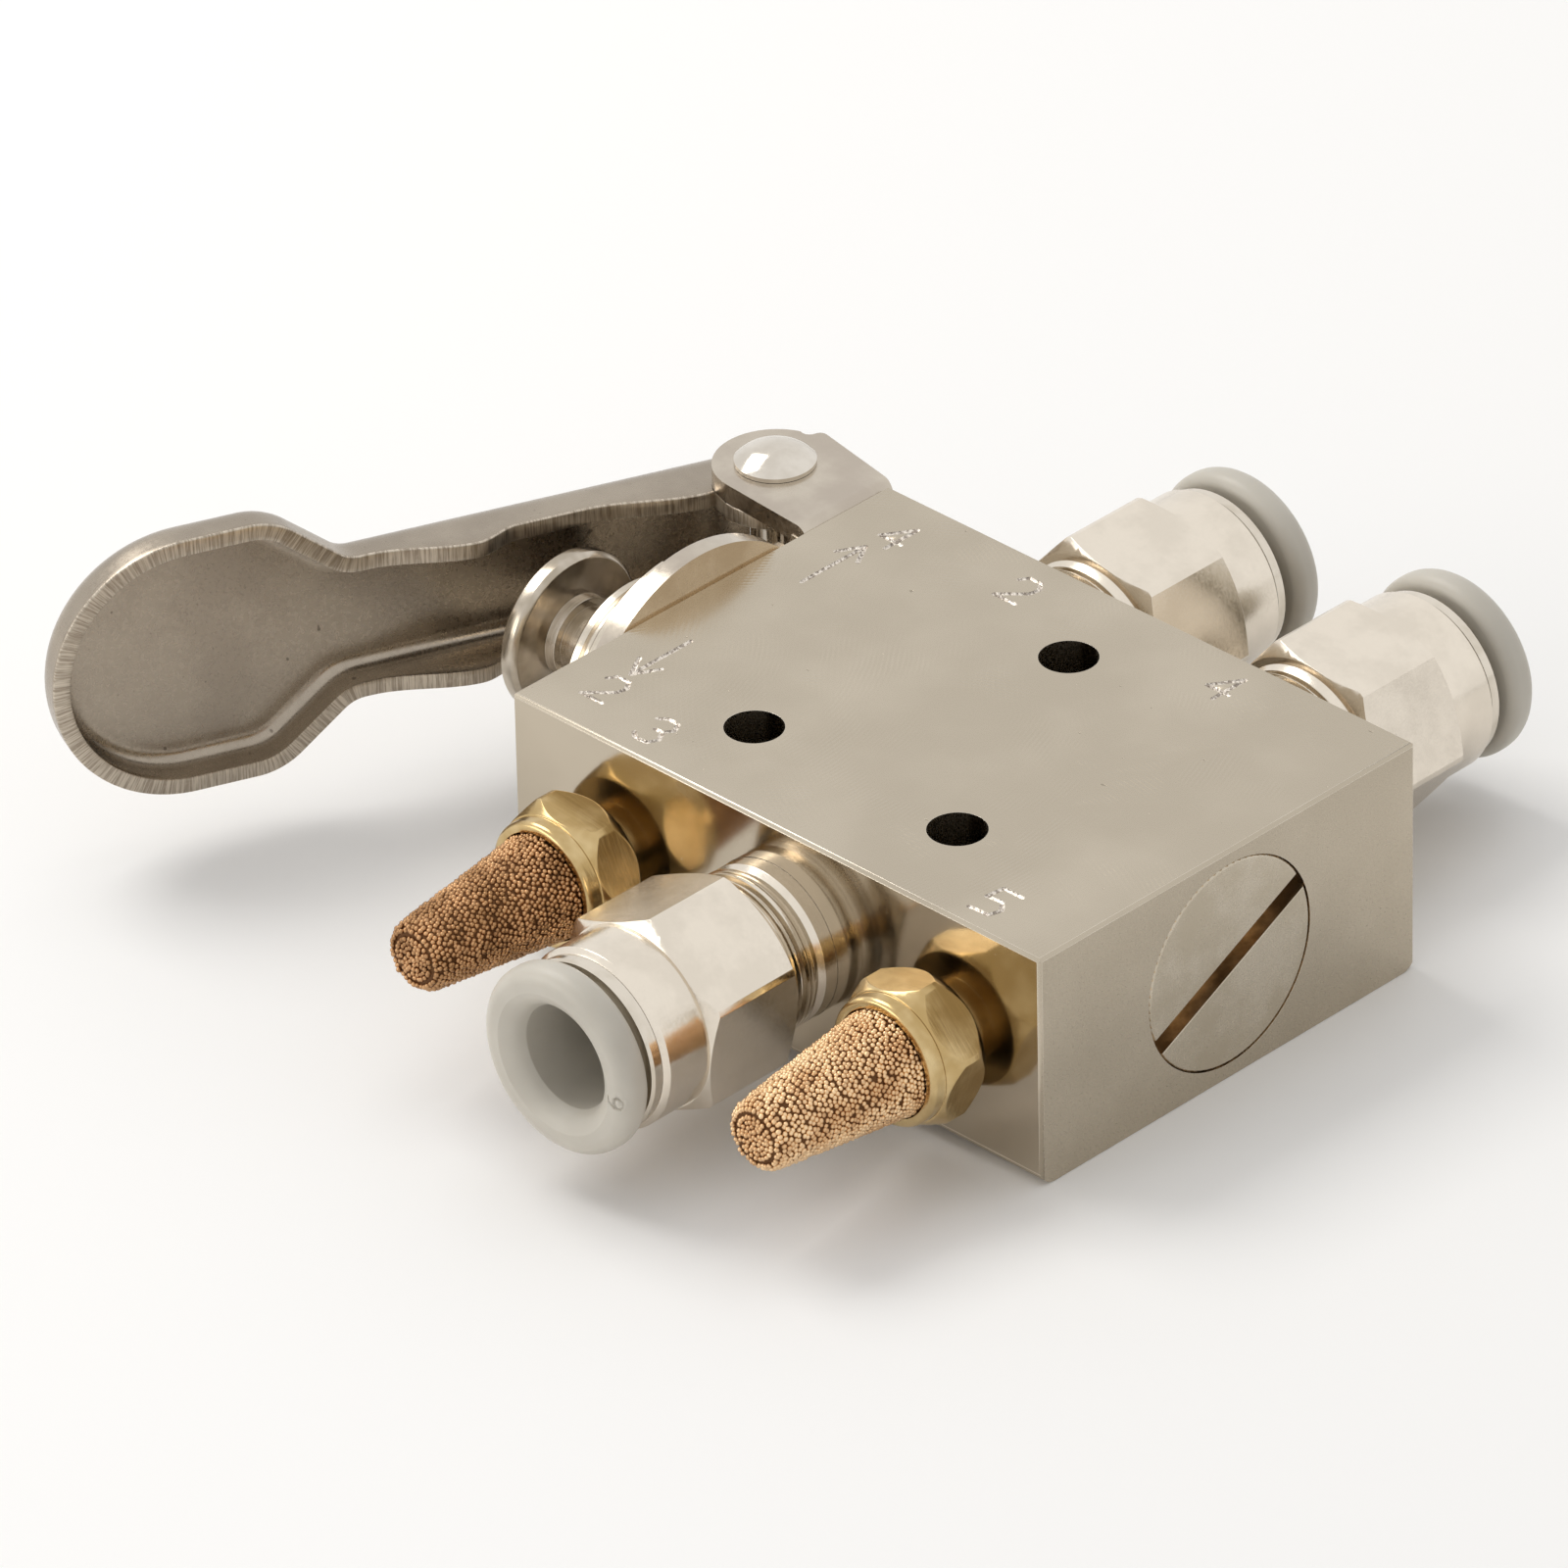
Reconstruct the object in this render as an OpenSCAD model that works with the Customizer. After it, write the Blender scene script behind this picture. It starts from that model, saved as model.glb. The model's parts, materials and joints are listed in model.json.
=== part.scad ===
// Hand lever spool valve with five ports and two positions.
// X runs along the spool bore with the lever at -X, the two outlets face +Y, the supply
// and the two exhausts face -Y, and the block stands on Z = 0.

/* [Body] */
// Length of the block along the spool bore
body_l = 40; // [38:0.5:46]
// Width of the block across the ports
body_w = 29.8; // [28.6:0.2:36]
// Height of the block
body_h = 14.6; // [14:0.1:18]
// Bevel along the sharp edges of the block
edge_bevel = 0.2; // [0.1:0.05:0.4]
// Radius of the two long bottom edges
foot_r = 1; // [0.4:0.1:2]
// Diameter of the three mounting holes
mount_d = 3.4; // [2.8:0.1:3.8]
// Distance between the pair of mounting holes on the supply side
mount_pitch = 15.4; // [14.8:0.1:16.2]
// Distance of that pair from the spool axis
pair_y = 8.4; // [8:0.1:9]
// Distance of the single mounting hole from the spool axis
single_y = 8.5; // [8:0.1:9.4]

/* [Ports] */
// Distance of each outlet port from the middle of the block
outlet_x = 8.1; // [7.6:0.1:8.8]
// Distance of each exhaust port from the middle of the block
exhaust_x = 13; // [12.6:0.1:14]
// Diameter of the large port threads
port_d = 9.6; // [9:0.1:9.8]
// Depth of the large port threads
port_depth = 7; // [6:0.1:7.6]
// Diameter of the small exhaust threads
exhaust_d = 5; // [4:0.1:5.6]
// Depth of the small exhaust threads
exhaust_depth = 4.5; // [4:0.1:6]
// Diameter of the air passages between the ports and the spool bore
passage_d = 2.8; // [1.6:0.1:3.2]

/* [Spool] */
// Diameter of the spool bore
bore_d = 8; // [7.6:0.1:8.4]
// Diameter of the chambers turned into the spool bore
chamber_d = 9.4; // [8.8:0.1:10]
// Length of each supply and outlet chamber
chamber_l = 3.4; // [2.8:0.1:3.8]
// Length of each exhaust chamber
vent_l = 2.4; // [1.8:0.1:2.8]
// Travel of the spool
stroke = 2.66; // [2.4:0.02:2.9]
// Diameter of the waists between the spool lands
waist_d = 4.4; // [3.6:0.1:5]
// Thickness of the rubber in the spool seals
seal_d = 1.1; // [0.9:0.05:1.3]
// Diameter of the push rod
rod_d = 4; // [3.4:0.1:4.4]
// Diameter of the wire of the return spring
wire_d = 0.6; // [0.4:0.05:0.7]
// Number of turns of the return spring
spring_turns = 5.5; // [4.5:0.5:6.5]

/* [End plug] */
// Diameter of the slotted end plug
plug_d = 12.8; // [12.2:0.1:13.4]
// Thickness of the end plug
plug_t = 2.6; // [2.2:0.1:3.4]
// Width of the screwdriver slot
slot_w = 1.2; // [0.8:0.1:1.6]
// Angle of the slot above the level
slot_angle = 26; // [0:1:180]

/* [Gland bush] */
// Diameter of the flange
flange_d = 17; // [15:0.1:18]
// Thickness of the flange
flange_t = 1.2; // [0.8:0.1:1.8]
// Diameter of the nose and of the thread behind it
gland_d = 10.4; // [9.8:0.1:10.8]
// Distance from the block to the front of the nose
nose_reach = 6.1; // [5:0.1:6.6]
// Depth of the gland thread in the block
gland_in = 5; // [4.4:0.1:5.4]

/* [Push button] */
// Distance from the block to the near face of the button
button_reach = 10.1; // [9.8:0.05:10.4]
// Diameter of the button
button_d = 9.88; // [8.6:0.02:10]
// Thickness of the button at its edge
button_t = 1.15; // [0.8:0.05:1.2]

/* [Bracket] */
// Thickness of the bracket sheet
sheet = 1.2; // [1:0.1:1.5]
// Diameter of the round lobe under the gland flange
lobe_d = 18.9; // [17.4:0.1:20]
// Distance of the pivot beyond the end of the block
pivot_out = 6.4; // [6:0.1:7]
// Distance of the pivot to the side of the spool axis
pivot_y = 12.4; // [12:0.1:13]
// Radius of the ears round the pivot
ear_r = 3.6; // [3.2:0.1:4]
// Outside radius of the two folds
fold_r = 0.8; // [0.3:0.05:1.2]
// Near edge of the bracket arm
arm_y0 = 8.3; // [8:0.1:8.6]
// Far edge of the bracket arm
arm_y1 = 15.3; // [14.6:0.1:16]

/* [Lever] */
// Thickness of the lever sheet
lever_t = 1; // [0.8:0.05:1.2]
// Height of the lever channel over its two flanges
lever_h = 9.3; // [9:0.1:9.8]
// Distance from the pivot to the outer face of the web
web_out = 5.1; // [4.9:0.05:5.6]
// Angle of the lever at rest from the end face of the block
lever_angle = 23.3; // [22:0.1:24]
// Distance from the pivot to the start of the neck curve
neck_s = 24.2; // [22:0.1:26]
// Radius of the neck curve
neck_r = 2; // [1.5:0.1:3]
// Radius of the paddle shoulders
shoulder_r = 4.2; // [3.4:0.1:4.8]
// Distance from the neck curve to the paddle shoulders
shoulder_s = 6.6; // [6:0.1:8]
// Length of the straight sides of the paddle
paddle_l = 3.7; // [2:0.1:8]
// Width of the paddle
paddle_w = 16.48; // [15:0.02:18]
// Radius of the pressed bend on the outside of the lever
press_r = 1.85; // [1.3:0.05:2.2]
// Diameter of the rivet shank
rivet_d = 3; // [2.4:0.1:3.4]
// Diameter of the rivet head
rivet_head_d = 4.7; // [4.2:0.1:5.6]

/* [Tube fittings] */
// Outside diameter of the tube
tube_d = 6; // [5.6:0.1:6]
// Width of the hexagon across its flats
hex_w = 11.1; // [10.9:0.1:12]
// Length of the grooved neck between the block and the hexagon
neck_l = 3.9; // [3:0.1:5]
// Length of the hexagon
hex_l = 6.7; // [6:0.1:8]
// Diameter of the round collar
collar_d = 10.8; // [10.6:0.1:11.2]
// Length of the collar
collar_l = 3.2; // [2.6:0.1:4]
// Diameter of the release ring
release_d = 11.2; // [10.4:0.1:12]
// Thickness of the release ring flange
release_t = 2; // [1.6:0.1:2.6]
// Travel of the release ring
release_travel = 0.5; // [0.4:0.05:0.8]

/* [Silencers] */
// Width of the brass hexagon across its flats
brass_w = 8; // [7.6:0.1:9]
// Length of the bare neck behind the brass hexagon
brass_neck = 1.1; // [0.8:0.1:1.4]
// Length of the brass hexagon
brass_l = 3; // [2.6:0.1:5]
// Length of the rolled lip
lip_l = 0.9; // [0.7:0.1:1.4]
// Diameter of the sintered cone at the lip
cone_d = 6.5; // [6:0.1:6.8]
// Diameter of the sintered cone at its tip
tip_d = 4.2; // [3.4:0.1:5]
// Length of the sintered cone beyond the lip
cone_l = 10; // [7:0.1:14]

/* [Hidden] */
$fn = 72;

seat = 0.02; // gap round a pressed or screwed piece
run = 0.05; // gap round a piece that slides or turns
cut = 0.5; // overrun of a cutting tool

axis_z = body_h / 2;
end_x = body_l / 2;
gland_x = -end_x + gland_in; // bottom of the gland thread
plug_x = end_x - plug_t; // inner face of the end plug

// Chambers along the bore, as [centre, length]
chambers = [[-exhaust_x, vent_l], [-outlet_x, chamber_l], [0, chamber_l],
    [outlet_x, chamber_l], [exhaust_x, vent_l]];
outlet_in = outlet_x - chamber_l / 2;
outlet_out = outlet_x + chamber_l / 2;
exhaust_in = exhaust_x - vent_l / 2;

// Spool seals at rest: one between the left exhaust and outlet, one open in the left
// outlet chamber, one between supply and right outlet, one open in the right chamber.
// At each end of the travel, an open land stands clear of its wall by the opening.
land_w = 0.6; // collar on each side of a spool groove
groove_w = seal_d + 0.2;
opening = 0.35;
land_half = groove_w / 2 + land_w;
seal_x = [land_half + opening - outlet_out - stroke, -outlet_in - land_half - opening,
    outlet_in + land_half + opening - stroke, outlet_out - land_half - opening];
land_r = bore_d / 2 - run;
seal_mid_r = land_r - seal_d / 2 + seat;
groove_r = seal_mid_r - seal_d / 2 - seat;
spool_end = seal_x[3] + land_half + 0.45; // shoulder that carries the spring
spring_r = bore_d / 2 - 0.8 - wire_d / 2;
spigot_r = spring_r - wire_d / 2 - 0.3;

plug_seal_r = (plug_d / 2 + bore_d / 2) / 2 - 0.2; // mean radius of the plug seal
gland_neck_r = gland_d / 2 - 1; // turned neck that holds the gland seal

// Lever frame: local X points out through the web, local Y along the lever
clevis = lever_h + 0.2; // space between the two ears
ear_z = body_h - 2 * sheet - clevis; // underside of the lower ear
lever_z = body_h - sheet - clevis / 2;
pivot = [-end_x - pivot_out, pivot_y];
rivet_hole_r = rivet_d / 2 + run;

// Stations along a fitting, measured out from the block
tube_stop = neck_l - 0.9;
hex_end = neck_l + hex_l;
collar_end = hex_end + collar_l;
ring_r = collar_d / 2 - 0.8; // inside radius of the collar
tube_r = tube_d / 2 + 0.1; // bore that the tube slides through
grip_z = tube_stop + 5.7;
sleeve_r = tube_r + 0.8; // outside radius of the release sleeve
retainer_flange = 0.7;
release_z = collar_end + retainer_flange + release_travel + 0.1;

brass_end = brass_neck + brass_l;
lip_end = brass_end + lip_l;
lip_r = cone_d / 2 + 0.6;

function arc(c, r, a0, a1, n) =
    [for (i = [0 : n]) c + r * [cos(a0 + (a1 - a0) * i / n), sin(a0 + (a1 - a0) * i / n)]];
function smooth(u) = u * u * (3 - 2 * u);

module lathe(points) {
    rotate_extrude() polygon(points);
}

module ring(r, thickness) {
    rotate_extrude() translate([r, 0]) circle(d = thickness, $fn = 24);
}

// Places children so that their Z points along the spool axis
module along_bore(x) {
    translate([x, 0, axis_z]) rotate([0, 90, 0]) children();
}

// Places children so that their Z points out of a side port; side is -1 or 1
module at_port(x, side) {
    translate([x, side * body_w / 2, axis_z]) rotate([-90 * side, 0, 0]) children();
}

module mount_holes() {
    for (p = [[0, single_y], [-mount_pitch / 2, -pair_y], [mount_pitch / 2, -pair_y]])
        translate([p.x, p.y, -cut]) cylinder(d = mount_d, h = body_h + 2 * cut);
}

// Square of the given size with a bevelled or rounded corner tool taken off
module corner_round(r) {
    difference() {
        translate([-cut, -cut]) square(r + cut);
        translate([r, r]) circle(r);
    }
}

module body_section() {
    difference() {
        translate([-body_w / 2, 0]) square([body_w, body_h]);
        for (side = [0, 1]) mirror([side, 0]) {
            translate([-body_w / 2, 0]) corner_round(foot_r);
            translate([-body_w / 2, body_h]) rotate(45) square(edge_bevel * sqrt(2), center = true);
        }
    }
}

module valve_body() {
    color("#b9afa3") difference() {
        intersection() {
            translate([-end_x, 0, 0]) rotate([90, 0, 90]) linear_extrude(body_l) body_section();
            linear_extrude(body_h) difference() {
                square([body_l, body_w], center = true);
                for (x = [-1, 1], y = [-1, 1]) translate([x * end_x, y * body_w / 2])
                    rotate(45) square(edge_bevel * sqrt(2), center = true);
            }
            rotate([90, 0, 0]) linear_extrude(body_w, center = true) difference() {
                translate([-end_x, 0]) square([body_l, body_h]);
                for (x = [-1, 1]) translate([x * end_x, body_h])
                    rotate(45) square(edge_bevel * sqrt(2), center = true);
            }
        }
        mount_holes();
        along_bore(gland_x - cut) cylinder(d = bore_d, h = plug_x - gland_x + 2 * cut);
        for (c = chambers) along_bore(c[0] - c[1] / 2) cylinder(d = chamber_d, h = c[1]);
        along_bore(-end_x - cut) cylinder(r = gland_d / 2 + seat, h = gland_in + cut);
        along_bore(plug_x - seat) cylinder(r = plug_d / 2 + seat, h = plug_t + cut);
        along_bore(plug_x - 1) difference() {
            cylinder(r = plug_seal_r + 0.55, h = 1);
            translate([0, 0, -cut]) cylinder(r = plug_seal_r - 0.55, h = 1 + 2 * cut);
        }
        for (p = [[0, -1], [outlet_x, 1], [-outlet_x, 1]]) at_port(p[0], p[1]) {
            translate([0, 0, -port_depth]) cylinder(r = port_d / 2 + seat, h = port_depth + cut);
            translate([0, 0, -body_w / 2 + bore_d / 4])
                cylinder(d = passage_d, h = body_w / 2 - bore_d / 4);
        }
        for (x = [-exhaust_x, exhaust_x]) at_port(x, -1) {
            translate([0, 0, -exhaust_depth])
                cylinder(r = exhaust_d / 2 + seat, h = exhaust_depth + cut);
            translate([0, 0, -body_w / 2 + bore_d / 4])
                cylinder(d = min(passage_d, vent_l), h = body_w / 2 - bore_d / 4);
        }
    }
}

module end_plug() {
    color("#a59a8c") along_bore(plug_x) difference() {
        union() {
            lathe([[0, 0], [plug_d / 2, 0], [plug_d / 2, plug_t - 0.15],
                [plug_d / 2 - 0.15, plug_t], [0, plug_t]]);
            translate([0, 0, -1.2]) cylinder(r = spigot_r, h = 1.2 + cut);
        }
        rotate(90 + slot_angle) translate([-plug_d, -slot_w / 2, plug_t - 1])
            cube([2 * plug_d, slot_w, 1 + cut]);
    }
}

module plug_seal() {
    color("#222222") along_bore(plug_x - 0.5) ring(plug_seal_r, 0.96);
}

// Closed coil swept by a round wire; the first and last turns lie nearly flat
module return_spring() {
    length = plug_x - spool_end - wire_d - 2 * seat;
    steps = spring_turns * 20;
    sides = 8;
    flat = 0.75; // turns at each end that hardly climb
    climb = function(t) let (w = spring_turns - 2 * flat)
        t < flat ? 0.05 * t / flat
        : t > spring_turns - flat ? 0.95 + 0.05 * (t - spring_turns + flat) / flat
        : 0.05 + 0.9 * (t - flat) / w;
    points = [for (i = [0 : steps], j = [0 : sides - 1])
        let (t = i / 20, a = 360 * t, b = 360 * j / sides,
            r = spring_r + wire_d / 2 * cos(b))
        [r * cos(a), r * sin(a), length * climb(t) + wire_d / 2 * sin(b)]];
    faces = concat(
        [[for (j = [0 : sides - 1]) j]],
        [[for (j = [sides - 1 : -1 : 0]) steps * sides + j]],
        [for (i = [0 : steps - 1], j = [0 : sides - 1])
            let (a = i * sides + j, b = i * sides + (j + 1) % sides)
            each [[a, a + sides, b + sides], [a, b + sides, b]]]);
    color("#9a938a") along_bore(spool_end + seat + wire_d / 2) polyhedron(points, faces);
}

module spool() {
    stop = gland_x + run;
    color("#8d8a86") difference() {
        union() {
            along_bore(stop) cylinder(r = bore_d / 2 - 0.6, h = 0.9);
            along_bore(stop) cylinder(d = waist_d, h = spool_end - stop);
            for (x = seal_x) along_bore(x - groove_w / 2 - land_w) difference() {
                cylinder(r = land_r, h = groove_w + 2 * land_w);
                translate([0, 0, land_w]) difference() {
                    cylinder(r = bore_d, h = groove_w);
                    translate([0, 0, -cut]) cylinder(r = groove_r, h = groove_w + 2 * cut);
                }
            }
            along_bore(spool_end - 0.5) cylinder(r = bore_d / 2 - 0.5, h = 0.5);
            along_bore(spool_end - cut) cylinder(r = spigot_r, h = 2.1 + cut);
        }
        along_bore(stop - cut) cylinder(r = rod_d / 4 + seat, h = 4 + cut);
    }
}

module spool_seals() {
    color("#1d1d1d") for (x = seal_x) along_bore(x) ring(seal_mid_r, seal_d);
}

// Push rod with a hub and a slightly domed head, pressed into the spool
module plunger_button() {
    base = gland_x + run;
    reach = end_x + button_reach;
    top = button_t + 0.35;
    edge = button_d / 2;
    color("#b3aaa0") translate([0, 0, axis_z]) rotate([0, -90, 0]) union() {
        translate([0, 0, -base]) cylinder(d = rod_d, h = reach + base + cut);
        translate([0, 0, -base - 3.9]) cylinder(r = rod_d / 4, h = 3.9 + cut);
        translate([0, 0, reach - 0.7]) cylinder(r = 2.5, h = 0.7 + cut);
        translate([0, 0, reach]) lathe(concat(
            [[0, 0], [edge - 0.28, 0], [edge, 0.28], [edge, button_t - 0.1]],
            [for (i = [0 : 8]) let (u = i / 8)
                [(edge - 0.1) * (1 - u), button_t + (top - button_t) * (1 - pow(1 - u, 2))]]));
    }
}

// Flanged bush that guides the push rod and clamps the bracket to the block
module gland_bush() {
    r = gland_d / 2;
    f0 = sheet;
    f1 = sheet + flange_t;
    color("#c3bbb0") translate([-end_x, 0, axis_z]) rotate([0, -90, 0]) difference() {
        lathe([[rod_d / 2 + run, -gland_in], [gland_neck_r, -gland_in],
            [gland_neck_r, -gland_in + 1.1], [r, -gland_in + 1.1], [r, f0],
            [flange_d / 2 - 0.15, f0], [flange_d / 2, f0 + 0.15], [flange_d / 2, f1 - 0.15],
            [flange_d / 2 - 0.15, f1], [r, f1], [r, nose_reach - 1.15],
            [r - 0.2, nose_reach - 1.05], [r - 0.2, nose_reach - 0.85],
            [r, nose_reach - 0.75], [r, nose_reach - 0.3], [r - 0.3, nose_reach],
            [rod_d / 2 + run, nose_reach]]);
        translate([0, 0, -gland_in + 1.9])
            cylinder(r = rod_d / 2 + run + 1.1, h = 1.24);
        for (a = [0, 180]) rotate(a) translate([r + 0.9, -0.8, f1 - 0.6])
            cube([flange_d, 1.6, 0.6 + cut]);
    }
}

module stem_seal() {
    color("#1d1d1d") along_bore(-end_x + gland_in - 2.52) ring(rod_d / 2 + run + 0.55, 1.08);
}

module gland_seal() {
    color("#1d1d1d") along_bore(gland_x - 0.55) ring(gland_neck_r + 0.5, 0.94);
}

// Side view of the folded bracket: X out from the block, Y up
module clevis_section(reach) {
    polygon(concat([[-reach, ear_z]],
        arc([-fold_r, ear_z + fold_r], fold_r, -90, 0, 6),
        arc([-fold_r, body_h - fold_r], fold_r, 0, 90, 6),
        [[-reach, body_h], [-reach, body_h - sheet]],
        arc([-sheet - 0.3, body_h - sheet - 0.3], 0.3, 90, 0, 4),
        arc([-sheet - 0.3, ear_z + sheet + 0.3], 0.3, 0, -90, 4),
        [[-reach, ear_z + sheet]]));
}

// Plan of one ear: straight flank, round end about the pivot, dip and square stop corner
module ear_plan() {
    root = [-end_x, arm_y0] - pivot;
    touch = atan2(root.y, root.x) - acos(ear_r / norm(root));
    polygon(concat([[-end_x + cut, arm_y0], [-end_x, arm_y0]],
        arc(pivot, ear_r, touch, -249, 24),
        arc(pivot + [-1.05, ear_r + 0.25], 0.55, -110, -10, 5),
        arc(pivot + [-0.05, ear_r + 0.05], 0.47, 170, 80, 5),
        [[-end_x, arm_y1], [-end_x + cut, arm_y1]]));
}

module lever_bracket() {
    slot = 1; // relief slot between the lobe and each fold
    color("#bdb2a5") difference() {
        union() {
            translate([-end_x, 0, axis_z]) rotate([0, -90, 0]) cylinder(d = lobe_d, h = sheet);
            translate([-end_x - sheet, 0, ear_z + fold_r])
                cube([sheet, arm_y1, body_h - ear_z - 2 * fold_r]);
            intersection() {
                translate([-end_x, arm_y1 + 3, 0]) rotate([90, 0, 0])
                    linear_extrude(arm_y1 - arm_y0 + 4) clevis_section(pivot_out + ear_r + 1);
                linear_extrude(body_h + 1) ear_plan();
            }
        }
        translate([-end_x + cut, 0, axis_z]) rotate([0, -90, 0])
            cylinder(r = gland_d / 2 + 0.1, h = sheet + 2 * cut);
        for (z = [ear_z + 1.7, body_h - 1.7]) {
            translate([-end_x - sheet - cut, arm_y0 - slot, z < axis_z ? z - lobe_d : z])
                cube([sheet + 2 * cut, slot, lobe_d]);
            translate([-end_x + cut, arm_y0 - slot / 2, z]) rotate([0, -90, 0])
                cylinder(d = slot, h = sheet + 2 * cut);
        }
        translate([pivot.x, pivot.y, ear_z - cut])
            cylinder(r = rivet_d / 2 + seat, h = body_h - ear_z + 2 * cut);
    }
}

// Outline of the pressed lever in one plane, drawn in by i on every side.
// Points are [along the lever, up]; all curves keep their centres as i grows.
function lever_outline(i) =
    let (half = lever_h / 2, wide = paddle_w / 2,
        c1 = [neck_s, half + neck_r], c2 = [neck_s + shoulder_s, wide - shoulder_r],
        d = c2 - c1, slope = atan2(d.y, d.x) + asin((neck_r + shoulder_r) / norm(d)),
        upper = concat([[-ear_r - 1, half - i]],
            arc(c1, neck_r + i, -90, slope - 90, 6),
            arc(c2, shoulder_r - i, slope + 90, 90, 6),
            arc([c2.x + paddle_l, 0], wide - i, 90, 0, 14)),
        n = len(upper))
    concat(upper, [for (k = [n - 2 : -1 : 0]) [upper[k].x, -upper[k].y]]);

// Solid pressed shape: straight walls that turn into a flat top through a bend of radius r
module pressing(inset, top, r) {
    bands = 6;
    levels = concat([[0, -ear_r - 1]],
        [for (k = [0 : bands]) let (a = 90 * k / bands) [r * (1 - cos(a)), top - r + r * sin(a)]]);
    loops = [for (l = levels) lever_outline(inset + l[0])];
    n = len(loops[0]);
    last = (len(levels) - 1) * n;
    points = [for (k = [0 : len(levels) - 1], p = loops[k]) [levels[k][1], p.x, p.y]];
    faces = concat(
        [for (j = [0 : (n - 3) / 2]) let (f = [n - 1 - j, n - 2 - j, j + 1, j])
            j == (n - 3) / 2 ? [f[0], f[2], f[3]] : f],
        [for (j = [0 : (n - 3) / 2]) let (f = [j, j + 1, n - 2 - j, n - 1 - j])
            [for (i = j == (n - 3) / 2 ? [0, 1, 3] : [0 : 3]) last + f[i]]],
        [for (k = [0 : len(levels) - 2], j = [0 : n - 1])
            let (a = k * n + j, b = k * n + (j + 1) % n)
            each [[a, b, b + n], [a, b + n, a + n]]]);
    polyhedron(points, faces);
}

// Free edge of the flanges as [along the lever, distance out from the pivot line]
rim_out = web_out - 3; // free edge all round the paddle
edge_knots = [[ear_r + 0.4, 0.4], [11, 1.65], [15, 1.65], [17.6, 0.75],
    [neck_s - 0.4, rim_out]];
function free_edge() = [for (k = [0 : len(edge_knots) - 2], i = [0 : 5])
    let (a = edge_knots[k], b = edge_knots[k + 1], u = i / 6)
    [a.y + (b.y - a.y) * smooth(u), a.x + (b.x - a.x) * u]];

// Side view of the lever: X out through the web, Y along the lever
module lever_side() {
    far = neck_s + shoulder_s + paddle_l + paddle_w / 2 + 1;
    polygon(concat(arc([0, 0], ear_r, 0, acos(edge_knots[0].y / ear_r) - 360, 36),
        free_edge(), [[rim_out, neck_s - 0.4], [rim_out, far], [web_out + 1, far],
        [web_out + 1, 0.4], [web_out - 0.6, 0]]));
}

// Sheet channel that widens into a dished oval paddle
module lever() {
    color("#b8aea2") translate([pivot.x, pivot.y, lever_z]) rotate(180 - lever_angle)
        difference() {
            intersection() {
                pressing(0, web_out, press_r);
                translate([0, 0, -paddle_w]) linear_extrude(2 * paddle_w) lever_side();
            }
            pressing(lever_t, web_out - lever_t, press_r - lever_t);
            translate([0, 0, -lever_h]) cylinder(r = rivet_hole_r, h = 2 * lever_h);
        }
}

// Domed head of height h on a thin rim, standing on Z = 0
module rivet_head(r, h) {
    rim = 0.25;
    ball = (r * r + (h - rim) * (h - rim)) / (2 * (h - rim));
    cylinder(r = r, h = rim);
    intersection() {
        translate([0, 0, h - ball]) sphere(ball);
        translate([0, 0, rim / 2]) cylinder(r = r, h = h);
    }
}

module pivot_rivet() {
    color("#d8d2c8") translate([pivot.x, pivot.y, 0]) union() {
        translate([0, 0, body_h + seat]) rivet_head(rivet_head_d / 2, 1.15);
        translate([0, 0, ear_z - cut]) cylinder(d = rivet_d, h = body_h - ear_z + 2 * cut);
        translate([0, 0, ear_z - seat]) mirror([0, 0, 1]) rivet_head(rivet_head_d / 2 - 0.3, 0.8);
    }
}

// Hexagon from z0 to z1 with its corners broken and both ends turned to a cone
module turned_hex(width, z0, z1, end_r, slope) {
    corner = width / sqrt(3) - 0.11;
    rise = (corner - end_r) * tan(slope);
    intersection() {
        translate([0, 0, z0]) cylinder(d = width / cos(30), h = z1 - z0, $fn = 6);
        lathe([[0, z0], [end_r, z0], [corner, z0 + rise], [corner, z1 - rise], [end_r, z1],
            [0, z1]]);
    }
}

module fitting(x, side, hex_angle) {
    t = port_d / 2;
    color("#c9c1b6") at_port(x, side) difference() {
        union() {
            lathe([[0, -port_depth + 0.1], [t - 0.6, -port_depth + 0.1], [t, -port_depth + 0.7],
                [t, 0.9], [t - 0.35, 1.25], [t - 0.35, 1.5], [t - 0.05, 1.8], [t - 0.05, 2.3],
                [t - 0.4, 2.6], [t - 0.4, 2.8], [t + 0.3, neck_l], [t, neck_l + cut],
                [0, neck_l + cut]]);
            rotate(-side * hex_angle) turned_hex(hex_w, neck_l, hex_end, hex_w / 2 - 0.05, 30);
            lathe([[0, hex_end - 0.4], [collar_d / 2, hex_end - 0.4],
                [collar_d / 2, collar_end - 0.3], [collar_d / 2 - 0.3, collar_end],
                [0, collar_end]]);
        }
        translate([0, 0, -port_depth - cut]) cylinder(r = 2, h = port_depth + tube_stop + 2 * cut);
        translate([0, 0, tube_stop]) cylinder(r = tube_r, h = collar_end);
        translate([0, 0, tube_stop + 4]) cylinder(r = tube_r + 1.2, h = 1.6);
        translate([0, 0, tube_stop + 5.6]) cylinder(r = ring_r, h = collar_end);
    }
}

// Guide ring pressed into the collar, with a thin bright flange
module retainer(x, side) {
    color("#d2cbc0") at_port(x, side) difference() {
        union() {
            translate([0, 0, grip_z + 0.75])
                cylinder(r = ring_r - seat, h = collar_end - grip_z - 0.75 + cut / 5);
            translate([0, 0, collar_end + seat])
                lathe([[0, 0], [ring_r + 0.5, 0], [ring_r + 0.5, retainer_flange - 0.15],
                    [ring_r + 0.35, retainer_flange], [0, retainer_flange]]);
        }
        cylinder(r = sleeve_r + run, h = collar_end + 2);
    }
}

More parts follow.
